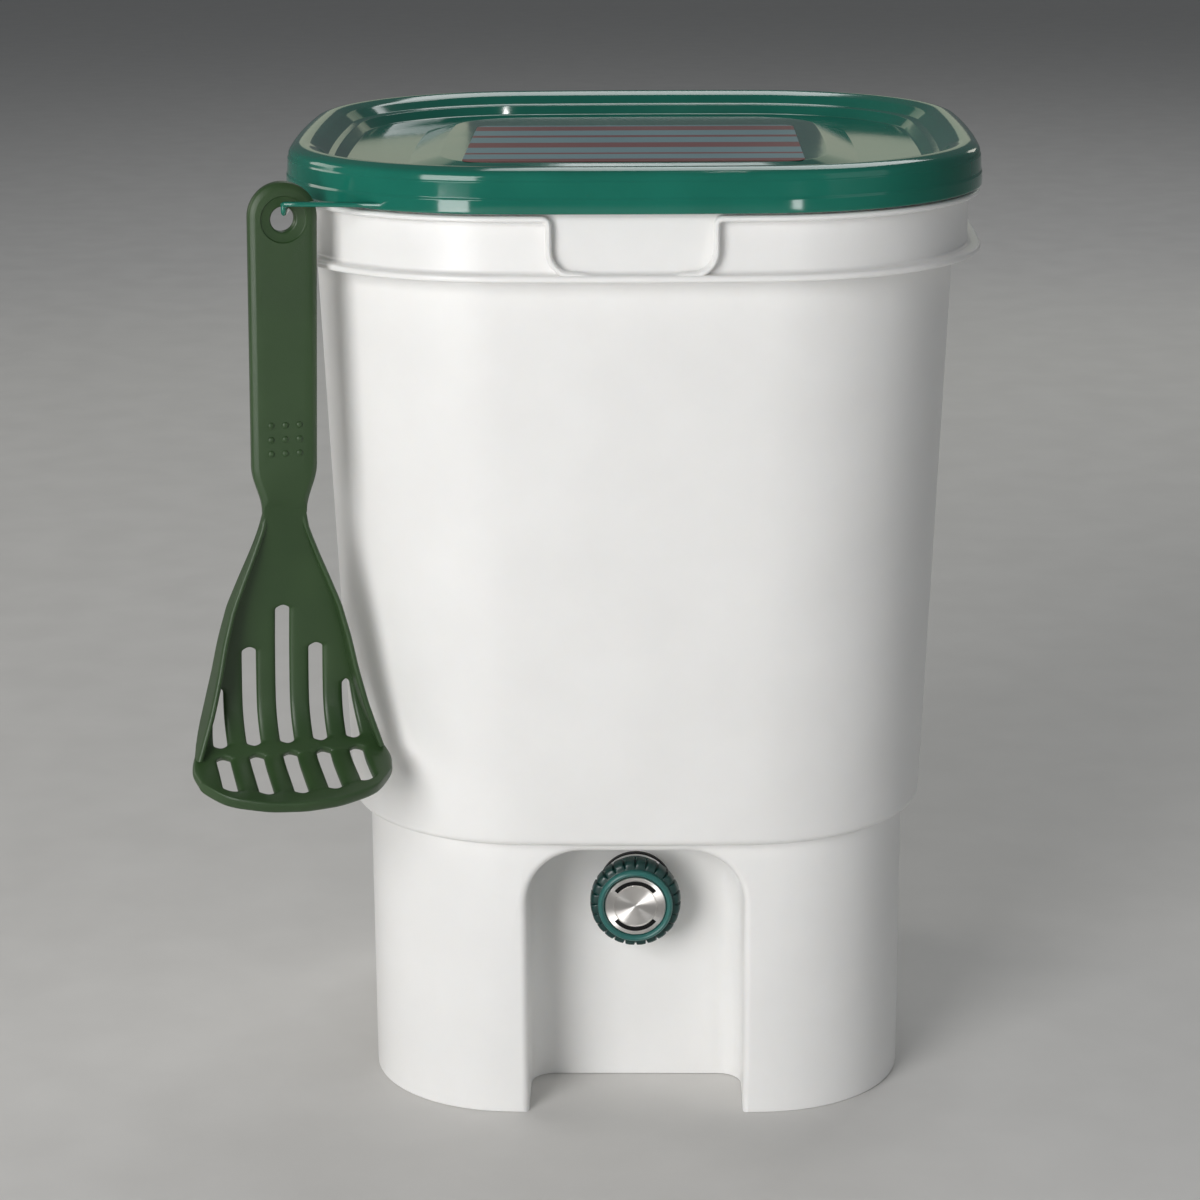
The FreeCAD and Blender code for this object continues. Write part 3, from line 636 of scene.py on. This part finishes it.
# Radius, distance in front of the alcove's back wall and groove depth, from the bore round to the disc.
knob_rings = [
    (bore_radius, knob_front - 0.0055, 0),
    (bore_radius, hollow_floor, 0),
    (0.0128, hollow_floor, 0),
    (0.0131, knob_back + 0.0003, 0),
    (0.0134, knob_back, 0),
    (knob_radius - 0.0022, knob_back, 0.0002),
    (knob_radius - 0.0008, knob_back + 0.0003, 0.0007),
    (knob_radius, knob_back + 0.0011, groove_deep),
    (knob_radius, knob_back + 0.003, groove_deep),
    (knob_radius - 0.0003, face_at - 0.0022, groove_deep),
    (knob_radius - 0.0007, face_at - 0.0012, groove_deep),
    (knob_radius - 0.0014, face_at - 0.0005, groove_deep),
    (knob_radius - 0.0024, face_at - 0.0002, groove_deep * 0.6),
    (knob_radius - 0.0034, face_at - 0.0001, 0.0001),
    (ring_radius, face_at, 0),
    (ring_radius, knob_front - 0.0018, 0),
    (ring_radius - 0.0002, knob_front - 0.0009, 0),
    (ring_radius - 0.0007, knob_front - 0.0003, 0),
    (ring_radius - 0.0014, knob_front, 0),
    (ring_radius - 0.002, knob_front - 0.0002, 0),
    (ring_radius - 0.0024, knob_front - 0.0007, 0),
    (disc_radius + 0.0004, knob_front - 0.0014, 0),
    (disc_radius + 0.0003, knob_front - 0.0018, 0),
    (disc_radius + 0.0003, disc_back, 0),
    (0.004, disc_back, 0),
]
knob = skin("knob_grip", [knurled(radius, distance, groove) for radius, distance, groove in knob_rings])
smooth(knob, angle=40)


def paint_bands(material, start_y, end_y, stops):
    """Colours a surface in bands between two depths, with stops of (share of the way, colour)."""
    tree = material.node_tree
    where = add(tree, "ShaderNodeTexCoord", {}).outputs["Object"]
    depth = add(tree, "ShaderNodeSeparateXYZ", {"Vector": where}).outputs["Y"]
    way = add(tree, "ShaderNodeMapRange", {"Value": depth, "From Min": start_y, "From Max": end_y})
    colour = ramp(tree, way.outputs["Result"], stops, "CONSTANT")
    feed(tree, tree.nodes["Principled BSDF"], {"Base Color": colour})


# Painted light and shade: the knob is one teal moulding, but its front ring is painted a lighter teal, as
# if lit from the front, and its grip pads a darker teal, as if in the alcove's shade.
ring_teal_painted_light = (0.026, 0.14, 0.126)
pad_teal_painted_shade = (0.005, 0.036, 0.032)
ring_share = (ring_high - 0.0002) / (knob_front - knob_back)
knob_teal_painted_light_and_shade = surface("two_tone_teal_plastic", (0.3, 0.4), grain=(1200.0, 0.08, 0.0002))
paint_bands(knob_teal_painted_light_and_shade, knob_low.y, knob_high.y, [(0, ring_teal_painted_light), (ring_share, pad_teal_painted_shade)])
knob.data.materials.append(knob_teal_painted_light_and_shade)
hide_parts("knob")
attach(knob, "knob")

# Radius and distance in front of the alcove's back wall, with a fine turned line and a slight dish.
disc_rings = [
    (0.004, disc_back),
    (disc_radius - 0.0002, disc_back),
    (disc_radius, disc_back + 0.0002),
    (disc_radius, disc_front - 0.0003),
    (disc_radius - 0.0003, disc_front),
    (0.0099, disc_front),
    (0.0097, disc_front - 0.0002),
    (0.0095, disc_front),
    (0.006, disc_front - 0.00012),
    (0.003, disc_front - 0.00022),
    (0.0008, disc_front - 0.00026),
]
disc = skin("spun_disc", [turned(radius, distance) for radius, distance in disc_rings])
smooth(disc)
spun_steel = surface(
    "spun_steel",
    (0.4, 0.48),
    shades=((0.84, 0.815, 0.785), (0.92, 0.895, 0.865)),
    Metallic=1.0,
    Anisotropic=1.0,
)
spun_tree = spun_steel.node_tree
around = add(spun_tree, "ShaderNodeTangent", {})
around.direction_type = "RADIAL"
around.axis = "Y"
feed(spun_tree, spun_tree.nodes["Principled BSDF"], {"Tangent": around.outputs["Tangent"]})
disc.data.materials.append(spun_steel)
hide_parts("knob_disc")
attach(disc, "knob")

mark_ink = surface("black_print", (0.35, 0.5), shades=((0.004,) * 3, (0.008,) * 3), Specular_IOR_Level=0.2)
finish_nodes(mark_ink, "dial_marks")

# Drain grate
# A perforated plate of plain white polypropylene that lies loose on the bucket's ledge. It keeps the scraps
# out of the liquid, and lifts out by its two finger holes.
grate_plastic = surface(
    "plain_white_plastic",
    (0.42, 0.55),
    shades=((0.79, 0.785, 0.765), (0.83, 0.825, 0.81)),
    grain=(900.0, 0.2, 0.0002),
)
finish_nodes(grate_plastic, "drain_grate")

# Lid
# A glossy green polypropylene lid, moulded with a banded skirt, a sunken tray and a raised plateau. A thin
# arm at the skirt's left front corner ends in a peg that carries the masher. A soft ring seals on the rim.
label_low, label_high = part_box("lid_label")
lid_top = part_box("lid")[1].z
lid_wall = 0.0026
lid_crisp = 0.0008
skirt_z = rim_z - 0.012
plateau_top = label_low.z
plateau_high = 0.0035
panel_z = plateau_top - plateau_high
panel_low = panel_z - lid_wall
plateau_half = 0.101
plateau_top_half = 0.087
plateau_corner = 0.046
plateau_top_corner = 0.032
plateau_middle_half = 0.06
plateau_middle_corner = 0.02
rim_wide = 0.015
tray_wide = 0.0105
tray_half = lid_half - rim_wide
tray_low_half = tray_half - tray_wide
tray_ledge_half = (tray_half + tray_low_half) / 2 - 0.0015
tray_ledge_out = tray_ledge_half + 0.003
tray_ledge_low = 0.004
tray_ledge_high = 0.0046
tray_round = 0.0015
roof_z = lid_top - lid_wall - 0.0014
rim_ridge = (lid_half + tray_half) / 2 - 0.0005
lid = bowed_skin("lid_shell", [
    (plateau_middle_half, plateau_top - lid_wall, plateau_middle_corner, 0),
    (plateau_top_half - lid_wall, plateau_top - lid_wall, plateau_top_corner - lid_wall, 0.003),
    (plateau_half - lid_wall, panel_low, plateau_corner - lid_wall, 0.003),
    rim_station(tray_low_half + lid_wall, panel_low, tray_round),
    rim_station(tray_ledge_half + lid_wall, panel_low + tray_ledge_low, lid_crisp),
    rim_station(tray_ledge_out + lid_wall, panel_low + tray_ledge_high, lid_crisp),
    rim_station(tray_half + lid_wall, roof_z, 0.001),
    rim_station(collar_half, roof_z, 0.001),
    rim_station(collar_half + 0.0006, rim_z, 0.0005),
    rim_station(lid_half - lid_wall - 0.0005, skirt_z + 0.0065, 0.001),
    rim_station(lid_half - lid_wall, skirt_z, 0.0005),
    rim_station(lid_half, skirt_z, 0.0009),
    rim_station(lid_half - 0.0001, skirt_z + 0.0058, lid_crisp),
    rim_station(lid_half - 0.0005, skirt_z + 0.0068, lid_crisp),
    rim_station(lid_half - 0.0008, skirt_z + 0.0132, 0.0006),
    rim_station(lid_half - 0.0011, skirt_z + 0.0139, 0.0006),
    rim_station(lid_half - 0.0016, lid_top - 0.002, 0.0035),
    rim_station(rim_ridge, lid_top + 0.0006, 0.008),
    rim_station(tray_half + 0.0006, lid_top - 0.0018, 0.006),
    rim_station(tray_ledge_out, panel_z + tray_ledge_high, lid_crisp),
    rim_station(tray_ledge_half, panel_z + tray_ledge_low, lid_crisp),
    rim_station(tray_low_half, panel_z, tray_round),
    (plateau_half, panel_z, plateau_corner, 0.002),
    (plateau_top_half, plateau_top, plateau_top_corner, 0.002),
    (plateau_middle_half, plateau_top, plateau_middle_corner, 0),
])
masher_joint = [joint for joint in frame["joints"] if joint["name"] == "masher_swing"][0]
peg_x, masher_back, peg_z = masher_joint["pos_m"]
handle_thick = 0.006
masher_front = masher_back - handle_thick
peg_radius = 0.0011
arm_thick = 0.002
arm_wide = 0.004
arm_gap = 0.0025
arm_back = masher_front - arm_gap
arm_front = arm_back - arm_wide
arm_middle = (arm_front + arm_back) / 2
arm_sink = 0.0013
arm_tip = peg_x - peg_radius
arm_tip_z = peg_z + 0.0042
arm_fall = 0.0132
arm_least = 0.0003
arm_round_share = 0.8
arm_round_steps = 4


def skirt_x(y, sink):
    """Left place of the skirt's front corner at a depth, a little below its surface."""
    half = lid_half - sink
    corner = rim_corner(half)
    centre = bow_places(half, corner)[1]
    return -centre - math.sqrt(corner ** 2 - (-y - centre) ** 2)


def round_box(low, high, radius, steps):
    """Pairs along a box with round corners, whose middles lie at the low and high ends of the box."""
    pairs = []
    for turn, (across, up) in enumerate((high, (low[0], high[1]), low, (high[0], low[1]))):
        for step in range(steps + 1):
            angle = math.pi / 2 * (turn + step / steps)
            pairs.append((across + radius * math.cos(angle), up + radius * math.sin(angle)))
    return pairs


def arm_loop(x, shrink):
    """Cross-section of the arm, a flat rounded strip; without x it ends in the skirt's corner."""
    wide = arm_wide / 2 - shrink
    high = arm_thick / 2 - min(shrink, arm_thick / 2 - arm_least)
    turn = min(wide, high) * arm_round_share
    reach = (wide - turn, high - turn)
    points = []
    for across, up in round_box((-reach[0], -reach[1]), reach, turn, arm_round_steps):
        y = arm_middle + across
        place = skirt_x(y, arm_sink) if x is None else x
        points.append(Vector((place, y, arm_tip_z - arm_fall * (place - arm_tip) + up)))
    return points


# Distance behind the tip and shrinkage of the arm's rounded end, then its places up to the skirt.
arm_end = ((0, 0.0016), (0.0003, 0.0009), (0.0009, 0.0003), (0.0018, 0))
arm_places = (-0.14, -0.132, -0.124, -0.118, None)
arm_loops = [arm_loop(arm_tip + back, shrink) for back, shrink in arm_end]
arm_loops += [arm_loop(place, 0) for place in arm_places]
arm = skin("arm", arm_loops)
peg_bend = 0.0016
peg_end = masher_back + 0.0025
peg_steps = 24
peg_bend_steps = 6


def peg_loop(radius, y, z, lean):
    """Circle of the peg, which leans from hanging (0) to lying (a quarter turn)."""
    points = []
    for step in range(peg_steps):
        angle = 2 * math.pi * step / peg_steps
        out = radius * math.sin(angle)
        x = peg_x + radius * math.cos(angle)
        points.append(Vector((x, y + out * math.cos(lean), z + out * math.sin(lean))))
    return points


peg_loops = [peg_loop(peg_radius, arm_middle, arm_tip_z, 0)]
for step in range(peg_bend_steps + 1):
    lean = math.pi / 2 * step / peg_bend_steps
    y = arm_middle + peg_bend * (1 - math.cos(lean))
    z = peg_z + peg_bend * (1 - math.sin(lean))
    peg_loops.append(peg_loop(peg_radius, y, z, lean))
for back, share in ((0.0008, 1), (0.0002, 0.85), (0, 0.5)):
    peg_loops.append(peg_loop(peg_radius * share, peg_end - back, peg_z, math.pi / 2))
combine(arm, skin("peg", peg_loops), "UNION")
combine(lid, arm, "UNION")
smooth(lid)
lid_green = surface(
    "glossy_green_plastic",
    (0.07, 0.11),
    shades=((0.009, 0.136, 0.096), (0.011, 0.158, 0.111)),
    grain=(140.0, 0.05, 0.0004),
    Subsurface_Weight=0.05,
    Subsurface_Scale=0.003,
)
lid.data.materials.append(lid_green)
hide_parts("lid")
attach(lid, "lid")
finish_nodes(rubber, "lid_gasket")

# Lid label
# A thin printed sheet stuck on the lid's plateau, with maroon and blue bands across it. It has rounded
# corners and a satin film.
label_corner = 0.006
label_corner_steps = 8
label_edge_high = 0.00008
label_edge_wide = 0.0001
label_flat_inset = 0.004


def label_loop(grow, z):
    """Outline of the label, grown evenly."""
    low = (label_low.x + label_corner, label_low.y + label_corner)
    high = (label_high.x - label_corner, label_high.y - label_corner)
    return [Vector((x, y, z)) for x, y in round_box(low, high, label_corner + grow, label_corner_steps)]


label = skin("label_sheet", [
    label_loop(0, label_low.z),
    label_loop(0, label_high.z - label_edge_high),
    label_loop(-label_edge_wide, label_high.z),
    label_loop(-label_flat_inset, label_high.z),
])
smooth(label)
maroon = (0.18, 0.04, 0.043)
grey_blue = (0.15, 0.28, 0.315)
band_starts = (0, 0.03, 0.15, 0.29, 0.35, 0.5, 0.63, 0.77, 0.81, 0.93)
band_stops = [(start, (grey_blue, maroon)[index % 2]) for index, start in enumerate(band_starts)]
label_print = surface("banded_print", (0.34, 0.46), Specular_IOR_Level=0.3)
paint_bands(label_print, label_high.y, label_low.y, band_stops)
label.data.materials.append(label_print)
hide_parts("lid_label")
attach(label, "lid")

# Masher
# A dark green nylon kitchen masher, hung by its eye on the lid's peg. It is one moulding: a flat handle
# with a sunk ring and nine grip dots, and a slotted fan head with folded sides and an oval foot.
eye_radius = 0.0054
eye_x = peg_x - 0.0016
eye_z = peg_z - 0.00318
handle_half = 0.0149
handle_low_half = 0.0143
handle_top = eye_z + 0.001
shoulder_z = eye_z - 0.1064
neck_z = shoulder_z - 0.021
neck_half = 0.0097
neck_tuck = 0.3
bend_z = eye_z - 0.2122
blade_thick = 0.0035
blade_lean = math.radians(12)
bend_lean = math.radians(-3)
bend_mid = 0.029 + blade_thick / 2
foot_slope = math.radians(20.5)
foot_thick = 0.0055
foot_half = 0.0447
foot_reach = 0.0262
foot_middle = masher_front - 0.0094
# Drop below the neck and half width there.
fan_widths = (
    (0.0, 0.0097), (0.006, 0.0105), (0.0126, 0.0126), (0.02, 0.0154), (0.0276, 0.0186), (0.0426, 0.0246),
    (0.0576, 0.0286), (0.0726, 0.0317), (0.0876, 0.0355), (0.1, 0.0395), (0.1086, 0.0424), (0.125, 0.044),
)


def fan_half(z):
    """Half width of the head at a height; above the neck it is tucked into the handle."""
    drop = neck_z - z
    if drop < 0:
        return neck_half + neck_tuck * drop
    for (start, low), (end, high) in zip(fan_widths, fan_widths[1:]):
        if drop <= end:
            return low + (high - low) * (drop - start) / (end - start)
    return fan_widths[-1][1]


handle_end_z = neck_z + 0.006
handle_end_deep = 0.003
handle_end_lean = blade_lean + math.radians(5)
handle_end_tuck = 0.0002
neck_steps = 14
side_parts = 8
crown_steps = 16


def handle_loop(grow, deep):
    """Front view of the handle at a depth, grown evenly; its lower end slopes back into the head."""
    end = handle_end_z - min(deep, handle_end_deep) / math.tan(handle_end_lean)
    crown = handle_half + grow
    run = [(neck_half + grow - handle_end_tuck, end)]
    for step in range(neck_steps + 1):
        share = step / neck_steps
        half = neck_half + (handle_low_half - neck_half) * (1 - math.cos(math.pi * share)) / 2
        run.append((half + grow, max(neck_z + (shoulder_z - neck_z) * share, end)))
    for step in range(1, side_parts):
        half = handle_low_half + (handle_half - handle_low_half) * step / side_parts
        run.append((half + grow, shoulder_z + (handle_top - shoulder_z) * step / side_parts))
    for across, up in quarter(crown_steps)[:-1]:
        run.append((crown * across, handle_top + crown * up))
    return [Vector((eye_x + x, masher_front + deep, z)) for x, z in both_sides(run, handle_top + crown)]


# Growth of the outline and depth behind the handle's front: a flat face, sloped edges, an eased back.
handle_rings = (
    (-0.0028, 0), (-0.0025, 0.0001), (-0.0007, 0.0009), (-0.0002, 0.0014), (0, 0.0021), (0, 0.003),
    (0, handle_thick - 0.0012), (-0.0004, handle_thick - 0.0004), (-0.0012, handle_thick),
)
masher = skin("masher_nylon", [handle_loop(grow, deep) for grow, deep in handle_rings])

slot_half = 0.003
slot_pitch = 0.015
slot_brace = 0.0022
edge_columns = [-0.042, -0.0375]
column_places = list(edge_columns)
for slot in (-2, -1, 0, 1, 2):
    for across in (-slot_half, slot_brace - slot_half, slot_half - slot_brace, slot_half):
        column_places.append(slot * slot_pitch + across)
column_places += [-place for place in reversed(edge_columns)]
last_column = len(column_places) - 1
# Rows of the head's sheet: heights above the bend, degrees round the bend and shares of the foot.
blade_rows = (
    0.0898, 0.086, 0.08, 0.072, 0.064, 0.056, 0.049, 0.0437, 0.0413, 0.0389, 0.034, 0.0285, 0.0252, 0.0228,
    0.0204, 0.0165, 0.0125, 0.0095, 0.0074, 0.005, 0.0025,
)
bend_rows = (4, 11, 18, 25, 32, 37.8, 42.5, 46.7, 51, 55, 60, 64)
foot_rows = (0.16, 0.34, 0.5, 0.62, 0.72, 0.82, 0.92, 1.0)
slot_tops = [blade_rows.index(top) for top in (0.0413, 0.0228, 0.005)]
first_bend = len(blade_rows)
first_foot = first_bend + len(bend_rows)
last_row = first_foot + len(foot_rows) - 1
slot_low_row = first_bend + bend_rows.index(42.5)
foot_slot_first = first_bend + bend_rows.index(51)
foot_slot_last = first_foot + foot_rows.index(0.72)
stout_first = first_bend + 4
stout_rows = 8
blade_down = Vector((0, math.sin(bend_lean), -math.cos(bend_lean)))
blade_ahead = Vector((0, -math.cos(bend_lean), -math.sin(bend_lean)))
blade_long = neck_z - bend_z
blade_top_y = masher_front + 0.00175 + blade_thick / 2
blade_foot_y = blade_top_y + blade_long * (math.tan(blade_lean) + math.tan(bend_lean)) / 2
blade_curl = (math.tan(bend_lean) - math.tan(blade_lean)) / (2 * blade_long)
bend_centre = Vector((0, blade_foot_y, bend_z)) + blade_ahead * bend_mid


def bend_point(angle, stout):
    """Middle of the head's sheet round the bend, at an angle from the blade's end; stout from 0 to 1."""
    radius = bend_mid + (foot_thick - blade_thick) / 2 * stout
    return bend_centre + (blade_down * math.sin(angle) - blade_ahead * math.cos(angle)) * radius


def stoutness(row):
    """How far a row of the sheet has grown from the blade's thickness to the foot's."""
    return min(max((row - stout_first) / stout_rows, 0), 1)


def sheet_y(z):
    """Depth of the middle of the head's sheet at a height."""
    if z > bend_z:
        drop = neck_z - z
        return blade_top_y + drop * math.tan(blade_lean) + blade_curl * max(drop, 0) ** 2
    return bend_centre.y + math.sqrt(bend_mid ** 2 - (bend_centre.z - z) ** 2)


bend_end = bend_point(math.pi / 2 + bend_lean - foot_slope, 1)
outer_slot_edge = 0.0307
outer_slot_lean = 0.13
outer_slot_least = 0.001
outer_slot_columns = {2: 1, 3: 0.65, 4: 0.35}
column_gap = 0.0007
foot_edge_share = 0.965
foot_spread = 1.03
blade_slot_ease = 0.0013
bend_slot_ease = 2.4
foot_slot_ease = 0.05


def oval_half(y):
    """Half width of the foot's oval at a depth."""
    return foot_half * math.sqrt(max(1 - ((y - foot_middle) / foot_reach) ** 2, 0.0))


def column_x(column, half, z):
    """Place of a column of the head's sheet: even at the slots, drawn in where the outline is narrow."""
    from_edge = min(column, last_column - column)
    if from_edge == 0:
        return math.copysign(half, column_places[column])
    out = abs(column_places[column])
    if from_edge in outer_slot_columns:
        inner = 2 * slot_pitch - slot_half
        outer = outer_slot_edge - (z - bend_z) * outer_slot_lean
        wide = min(max(outer - inner, outer_slot_least), 2 * slot_half)
        out = inner + wide * outer_slot_columns[from_edge]
    return math.copysign(min(out, half - column_gap * from_edge), column_places[column])


def slot_corner(row, column):
    """1 at the upper corners of a slot, -1 at the lower ones and 0 elsewhere."""
    slot, spot = divmod(column - 2, 4)
    away = abs(slot - 2)
    if away > 2 or spot not in (0, 3):
        return 0
    if row in (slot_tops[away], foot_slot_first):
        return 1
    return -1 if row in (slot_low_row, foot_slot_last) else 0


def sheet_point(row, column):
    """Middle of the head's sheet, down the blade, round the bend and out along the foot."""
    ease = slot_corner(row, column)
    if row < first_bend:
        z = bend_z + blade_rows[row] - blade_slot_ease * ease
        return Vector((eye_x + column_x(column, fan_half(z), z), sheet_y(z), z))
    if row < first_foot:
        angle = math.radians(bend_rows[row - first_bend] + bend_slot_ease * ease)
        place = bend_point(angle, stoutness(row))
        half = max(fan_half(place.z), oval_half(place.y))
        return Vector((eye_x + column_x(column, half, place.z), place.y, place.z))
    start = column_x(column, oval_half(bend_end.y), bend_end.z)
    end = column_x(column, foot_half * foot_edge_share, bend_end.z)
    deep = foot_middle - foot_reach * math.sqrt(1 - (end / foot_half) ** 2)
    share = foot_rows[row - first_foot] + foot_slot_ease * ease
    y = bend_end.y + (deep - bend_end.y) * share
    spread = foot_spread if 1 < column < last_column - 1 else 1
    x = start + (end * spread - start) * share
    return Vector((eye_x + x, y, bend_end.z + (y - bend_end.y) * math.tan(foot_slope)))


bpy.ops.mesh.primitive_grid_add(x_subdivisions=last_column, y_subdivisions=last_row, size=2)
head = bpy.context.object
stout = head.vertex_groups.new(name="stout")
bpy.ops.object.mode_set(mode="EDIT")
mesh = bmesh.from_edit_mesh(head.data)
weights = mesh.verts.layers.deform.verify()
spots = {}
for vert in mesh.verts:
    column = round((vert.co.x + 1) / 2 * last_column)
    row = round((1 - vert.co.y) / 2 * last_row)
    spots[vert] = (row, column)
bpy.ops.mesh.select_all(action="DESELECT")
for face in mesh.faces:
    row = min(spots[vert][0] for vert in face.verts)
    column = min(spots[vert][1] for vert in face.verts)
    across = (column_places[column] + column_places[column + 1]) / 2
    slot = round(across / slot_pitch)
    slotted = abs(slot) < 3 and abs(across - slot * slot_pitch) < slot_half
    on_blade = slotted and slot_tops[abs(slot)] <= row < slot_low_row
    on_foot = slotted and foot_slot_first <= row < foot_slot_last
    face.select_set(on_blade or on_foot)
for vert, (row, column) in spots.items():
    vert.co = sheet_point(row, column)
    vert[weights][stout.index] = stoutness(row)
bpy.ops.mesh.delete(type="FACE")
bpy.ops.mesh.select_all(action="SELECT")
bpy.ops.mesh.normals_make_consistent()
bpy.ops.object.mode_set(mode="OBJECT")
head_crease = 0.25
head_levels = 2
thicken = head.modifiers.new("thicken", "SOLIDIFY")
thicken.thickness = foot_thick
thicken.offset = 0
thicken.vertex_group = stout.name
thicken.thickness_vertex_group = blade_thick / foot_thick
thicken.edge_crease_inner = head_crease
thicken.edge_crease_outer = head_crease
soften = head.modifiers.new("soften", "SUBSURF")
soften.levels = head_levels
soften.render_levels = head_levels
for modifier in ("thicken", "soften"):
    bpy.ops.object.modifier_apply(modifier=modifier)

gusset_thick = 0.0026
gusset_half = gusset_thick / 2
gusset_low = 0.0075
gusset_tuck = 0.0021
gusset_curl = 1.6
gusset_least = 0.0012
gusset_inset = 0.0004
gusset_swell = 0.0006
swell_share = 0.15
gusset_top = neck_z + 0.002
gusset_foot = bend_z - 0.0225
gusset_side_steps = 5
gusset_round_steps = 8
gusset_rows = 24


def gusset_loop(side, z, forward, out):
    """Plan of a folded side at a height, from the middle of the sheet to its rounded front edge."""
    middle = fan_half(z) + out - gusset_half
    back = sheet_y(z)
    front = min(masher_front - forward, back - gusset_least)
    long = front + gusset_half - back
    run = [(1, back + long * step / gusset_side_steps) for step in range(gusset_side_steps)]
    for step in range(gusset_round_steps + 1):
        angle = math.pi * step / gusset_round_steps
        run.append((math.cos(angle), front + gusset_half * (1 - math.sin(angle))))
    run += [(-1, y) for across, y in reversed(run[:gusset_side_steps])]
    return [Vector((eye_x + side * (middle + across * gusset_half), y, z)) for across, y in run]


for side in (-1, 1):
    loops = []
    for step in range(gusset_rows + 1):
        share = step / gusset_rows
        z = gusset_top + (gusset_foot - gusset_top) * share
        forward = (gusset_low + gusset_tuck) * share ** gusset_curl - gusset_tuck
        out = gusset_swell * min(share / swell_share, 1) - gusset_inset
        loops.append(gusset_loop(side, z, forward, out))
    combine(head, skin("gusset", loops), "UNION")
combine(masher, head, "UNION")

# Radius and depth behind the handle's front: a sunk ring, and the hole with its eased edges.
eye_rings = (
    (0.0103, -0.001), (0.0101, 0), (0.0097, 0.0007), (0.0095, 0.0008), (0.0063, 0.0008), (0.0058, 0.001),
    (eye_radius, 0.0015), (eye_radius, handle_thick - 0.0005), (0.0059, handle_thick),
    (0.0059, handle_thick + 0.001),
)
eye_steps = 64
eye_loops = [hoop(eye_x, eye_z, radius, masher_front + deep, eye_steps) for radius, deep in eye_rings]
combine(masher, skin("eye", eye_loops), "DIFFERENCE")
dot_pitch = 0.0062
dot_radius = 0.00145
dot_flat = 0.53
dots_z = eye_z - 0.09475
dot_shapes = []
for column in (-1, 0, 1):
    for row in (-1, 0, 1):
        place = (eye_x + column * dot_pitch, masher_front, dots_z + row * dot_pitch)
        bpy.ops.mesh.primitive_uv_sphere_add(segments=16, ring_count=8, radius=dot_radius, location=place)
        bpy.ops.transform.resize(value=(1, dot_flat, 1))
        dot_shapes.append(bpy.context.object)
for dot in dot_shapes:
    dot.select_set(True)
bpy.ops.object.join()
dots = bpy.context.object
bpy.ops.object.transform_apply()
combine(masher, dots, "UNION")
masher_yaw = math.radians(19.5)
masher_roll = math.radians(1.35)
eye_middle = Matrix.Translation((eye_x, masher_front + handle_thick / 2, eye_z))
hang = Matrix.Rotation(masher_roll, 4, "Y") @ Matrix.Rotation(masher_yaw, 4, "Z")
masher.data.transform(eye_middle @ hang @ eye_middle.inverted())
smooth(masher, angle=40)
nylon = surface(
    "dark_green_nylon",
    (0.36, 0.48),
    shades=((0.025, 0.058, 0.018), (0.033, 0.072, 0.023)),
    grain=(1600.0, 0.25, 0.0002),
)
masher.data.materials.append(nylon)
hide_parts("masher")
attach(masher, "masher")

# Studio
# A plain pale floor under a dim even sky, with a large soft lamp at the left front, a weak fill at the
# right, and soft lamps at the left and high behind. Small windows all round give skirt, tray and knob
# their glints. The camera stands where the photo was taken.
bpy.ops.mesh.primitive_plane_add(size=40)
floor = bpy.context.object
floor.name = "studio_floor"
floor_paint = surface("pale_floor", (0.6, 0.7), shades=((0.68, 0.67, 0.65), (0.71, 0.70, 0.68)))
floor.data.materials.append(floor_paint)
lamp_aim = Vector((0, 0, 0.22))
scene = bpy.context.scene


def lamp(name, place, wide, high, power, colour=(1.0, 1.0, 1.0)):
    """Soft lamp aimed at the bin."""
    light = bpy.data.lights.new(name, "AREA")
    light.shape = "RECTANGLE"
    light.size = wide
    light.size_y = high
    light.energy = power
    light.color = colour
    holder = bpy.data.objects.new(name, light)
    holder.location = place
    holder.rotation_euler = (lamp_aim - Vector(place)).to_track_quat("-Z", "Y").to_euler()
    scene.collection.objects.link(holder)


lamp("key_lamp", (-1.2, -2.1, 1.05), 1.2, 1.2, 34, (1.0, 0.99, 0.985))
lamp("fill_lamp", (1.8, -1.5, 1.0), 1.4, 1.4, 3, (0.94, 0.97, 1.0))
lamp("side_lamp", (-1.9, 0.6, 0.9), 0.8, 0.8, 6, (1.0, 0.96, 0.9))
lamp("back_lamp", (0.5, 2.3, 3.0), 1.6, 1.6, 26, (0.98, 0.99, 1.0))
lamp("front_window", (-0.55, -1.1, 0.27), 0.3, 0.22, 1.9)
lamp("corner_window", (0.42, -1.2, 0.27), 0.1, 0.15, 0.5)
lamp("left_window", (-0.34, 2.0, 0.9), 0.3, 0.7, 0.24, (0.97, 1.0, 0.72))
lamp("right_window", (0.34, 2.0, 0.9), 0.3, 0.7, 0.24, (0.95, 1.0, 0.72))
lamp("right_box", (1.1, 2.0, 0.95), 0.4, 0.4, 0.8, (1.0, 0.97, 0.86))
lamp("roof_light", (0.13, -0.03, 2.2), 0.05, 0.05, 0.4, (1.0, 0.99, 0.97))
world = bpy.data.worlds.new("dim_sky")
world.use_nodes = True
sky = {"Color": (0.92, 0.96, 1.0, 1), "Strength": 0.12}
feed(world.node_tree, world.node_tree.nodes["Background"], sky)
scene.world = world
scene.view_settings.view_transform = "Standard"

camera_place = Vector((0.009, -1.4467, 0.6063))
camera_aim = Vector((-0.0172, 0.0, 0.2101))
camera_roll = -0.0063
camera_data = bpy.data.cameras.new("camera")
camera_data.sensor_width = 36
camera_data.lens = 93.86
camera = bpy.data.objects.new("camera", camera_data)
camera.location = camera_place
camera.rotation_mode = "QUATERNION"
look = (camera_aim - camera_place).to_track_quat("-Z", "Y")
camera.rotation_quaternion = look @ Quaternion((0, 0, 1), camera_roll)
scene.collection.objects.link(camera)
scene.camera = camera
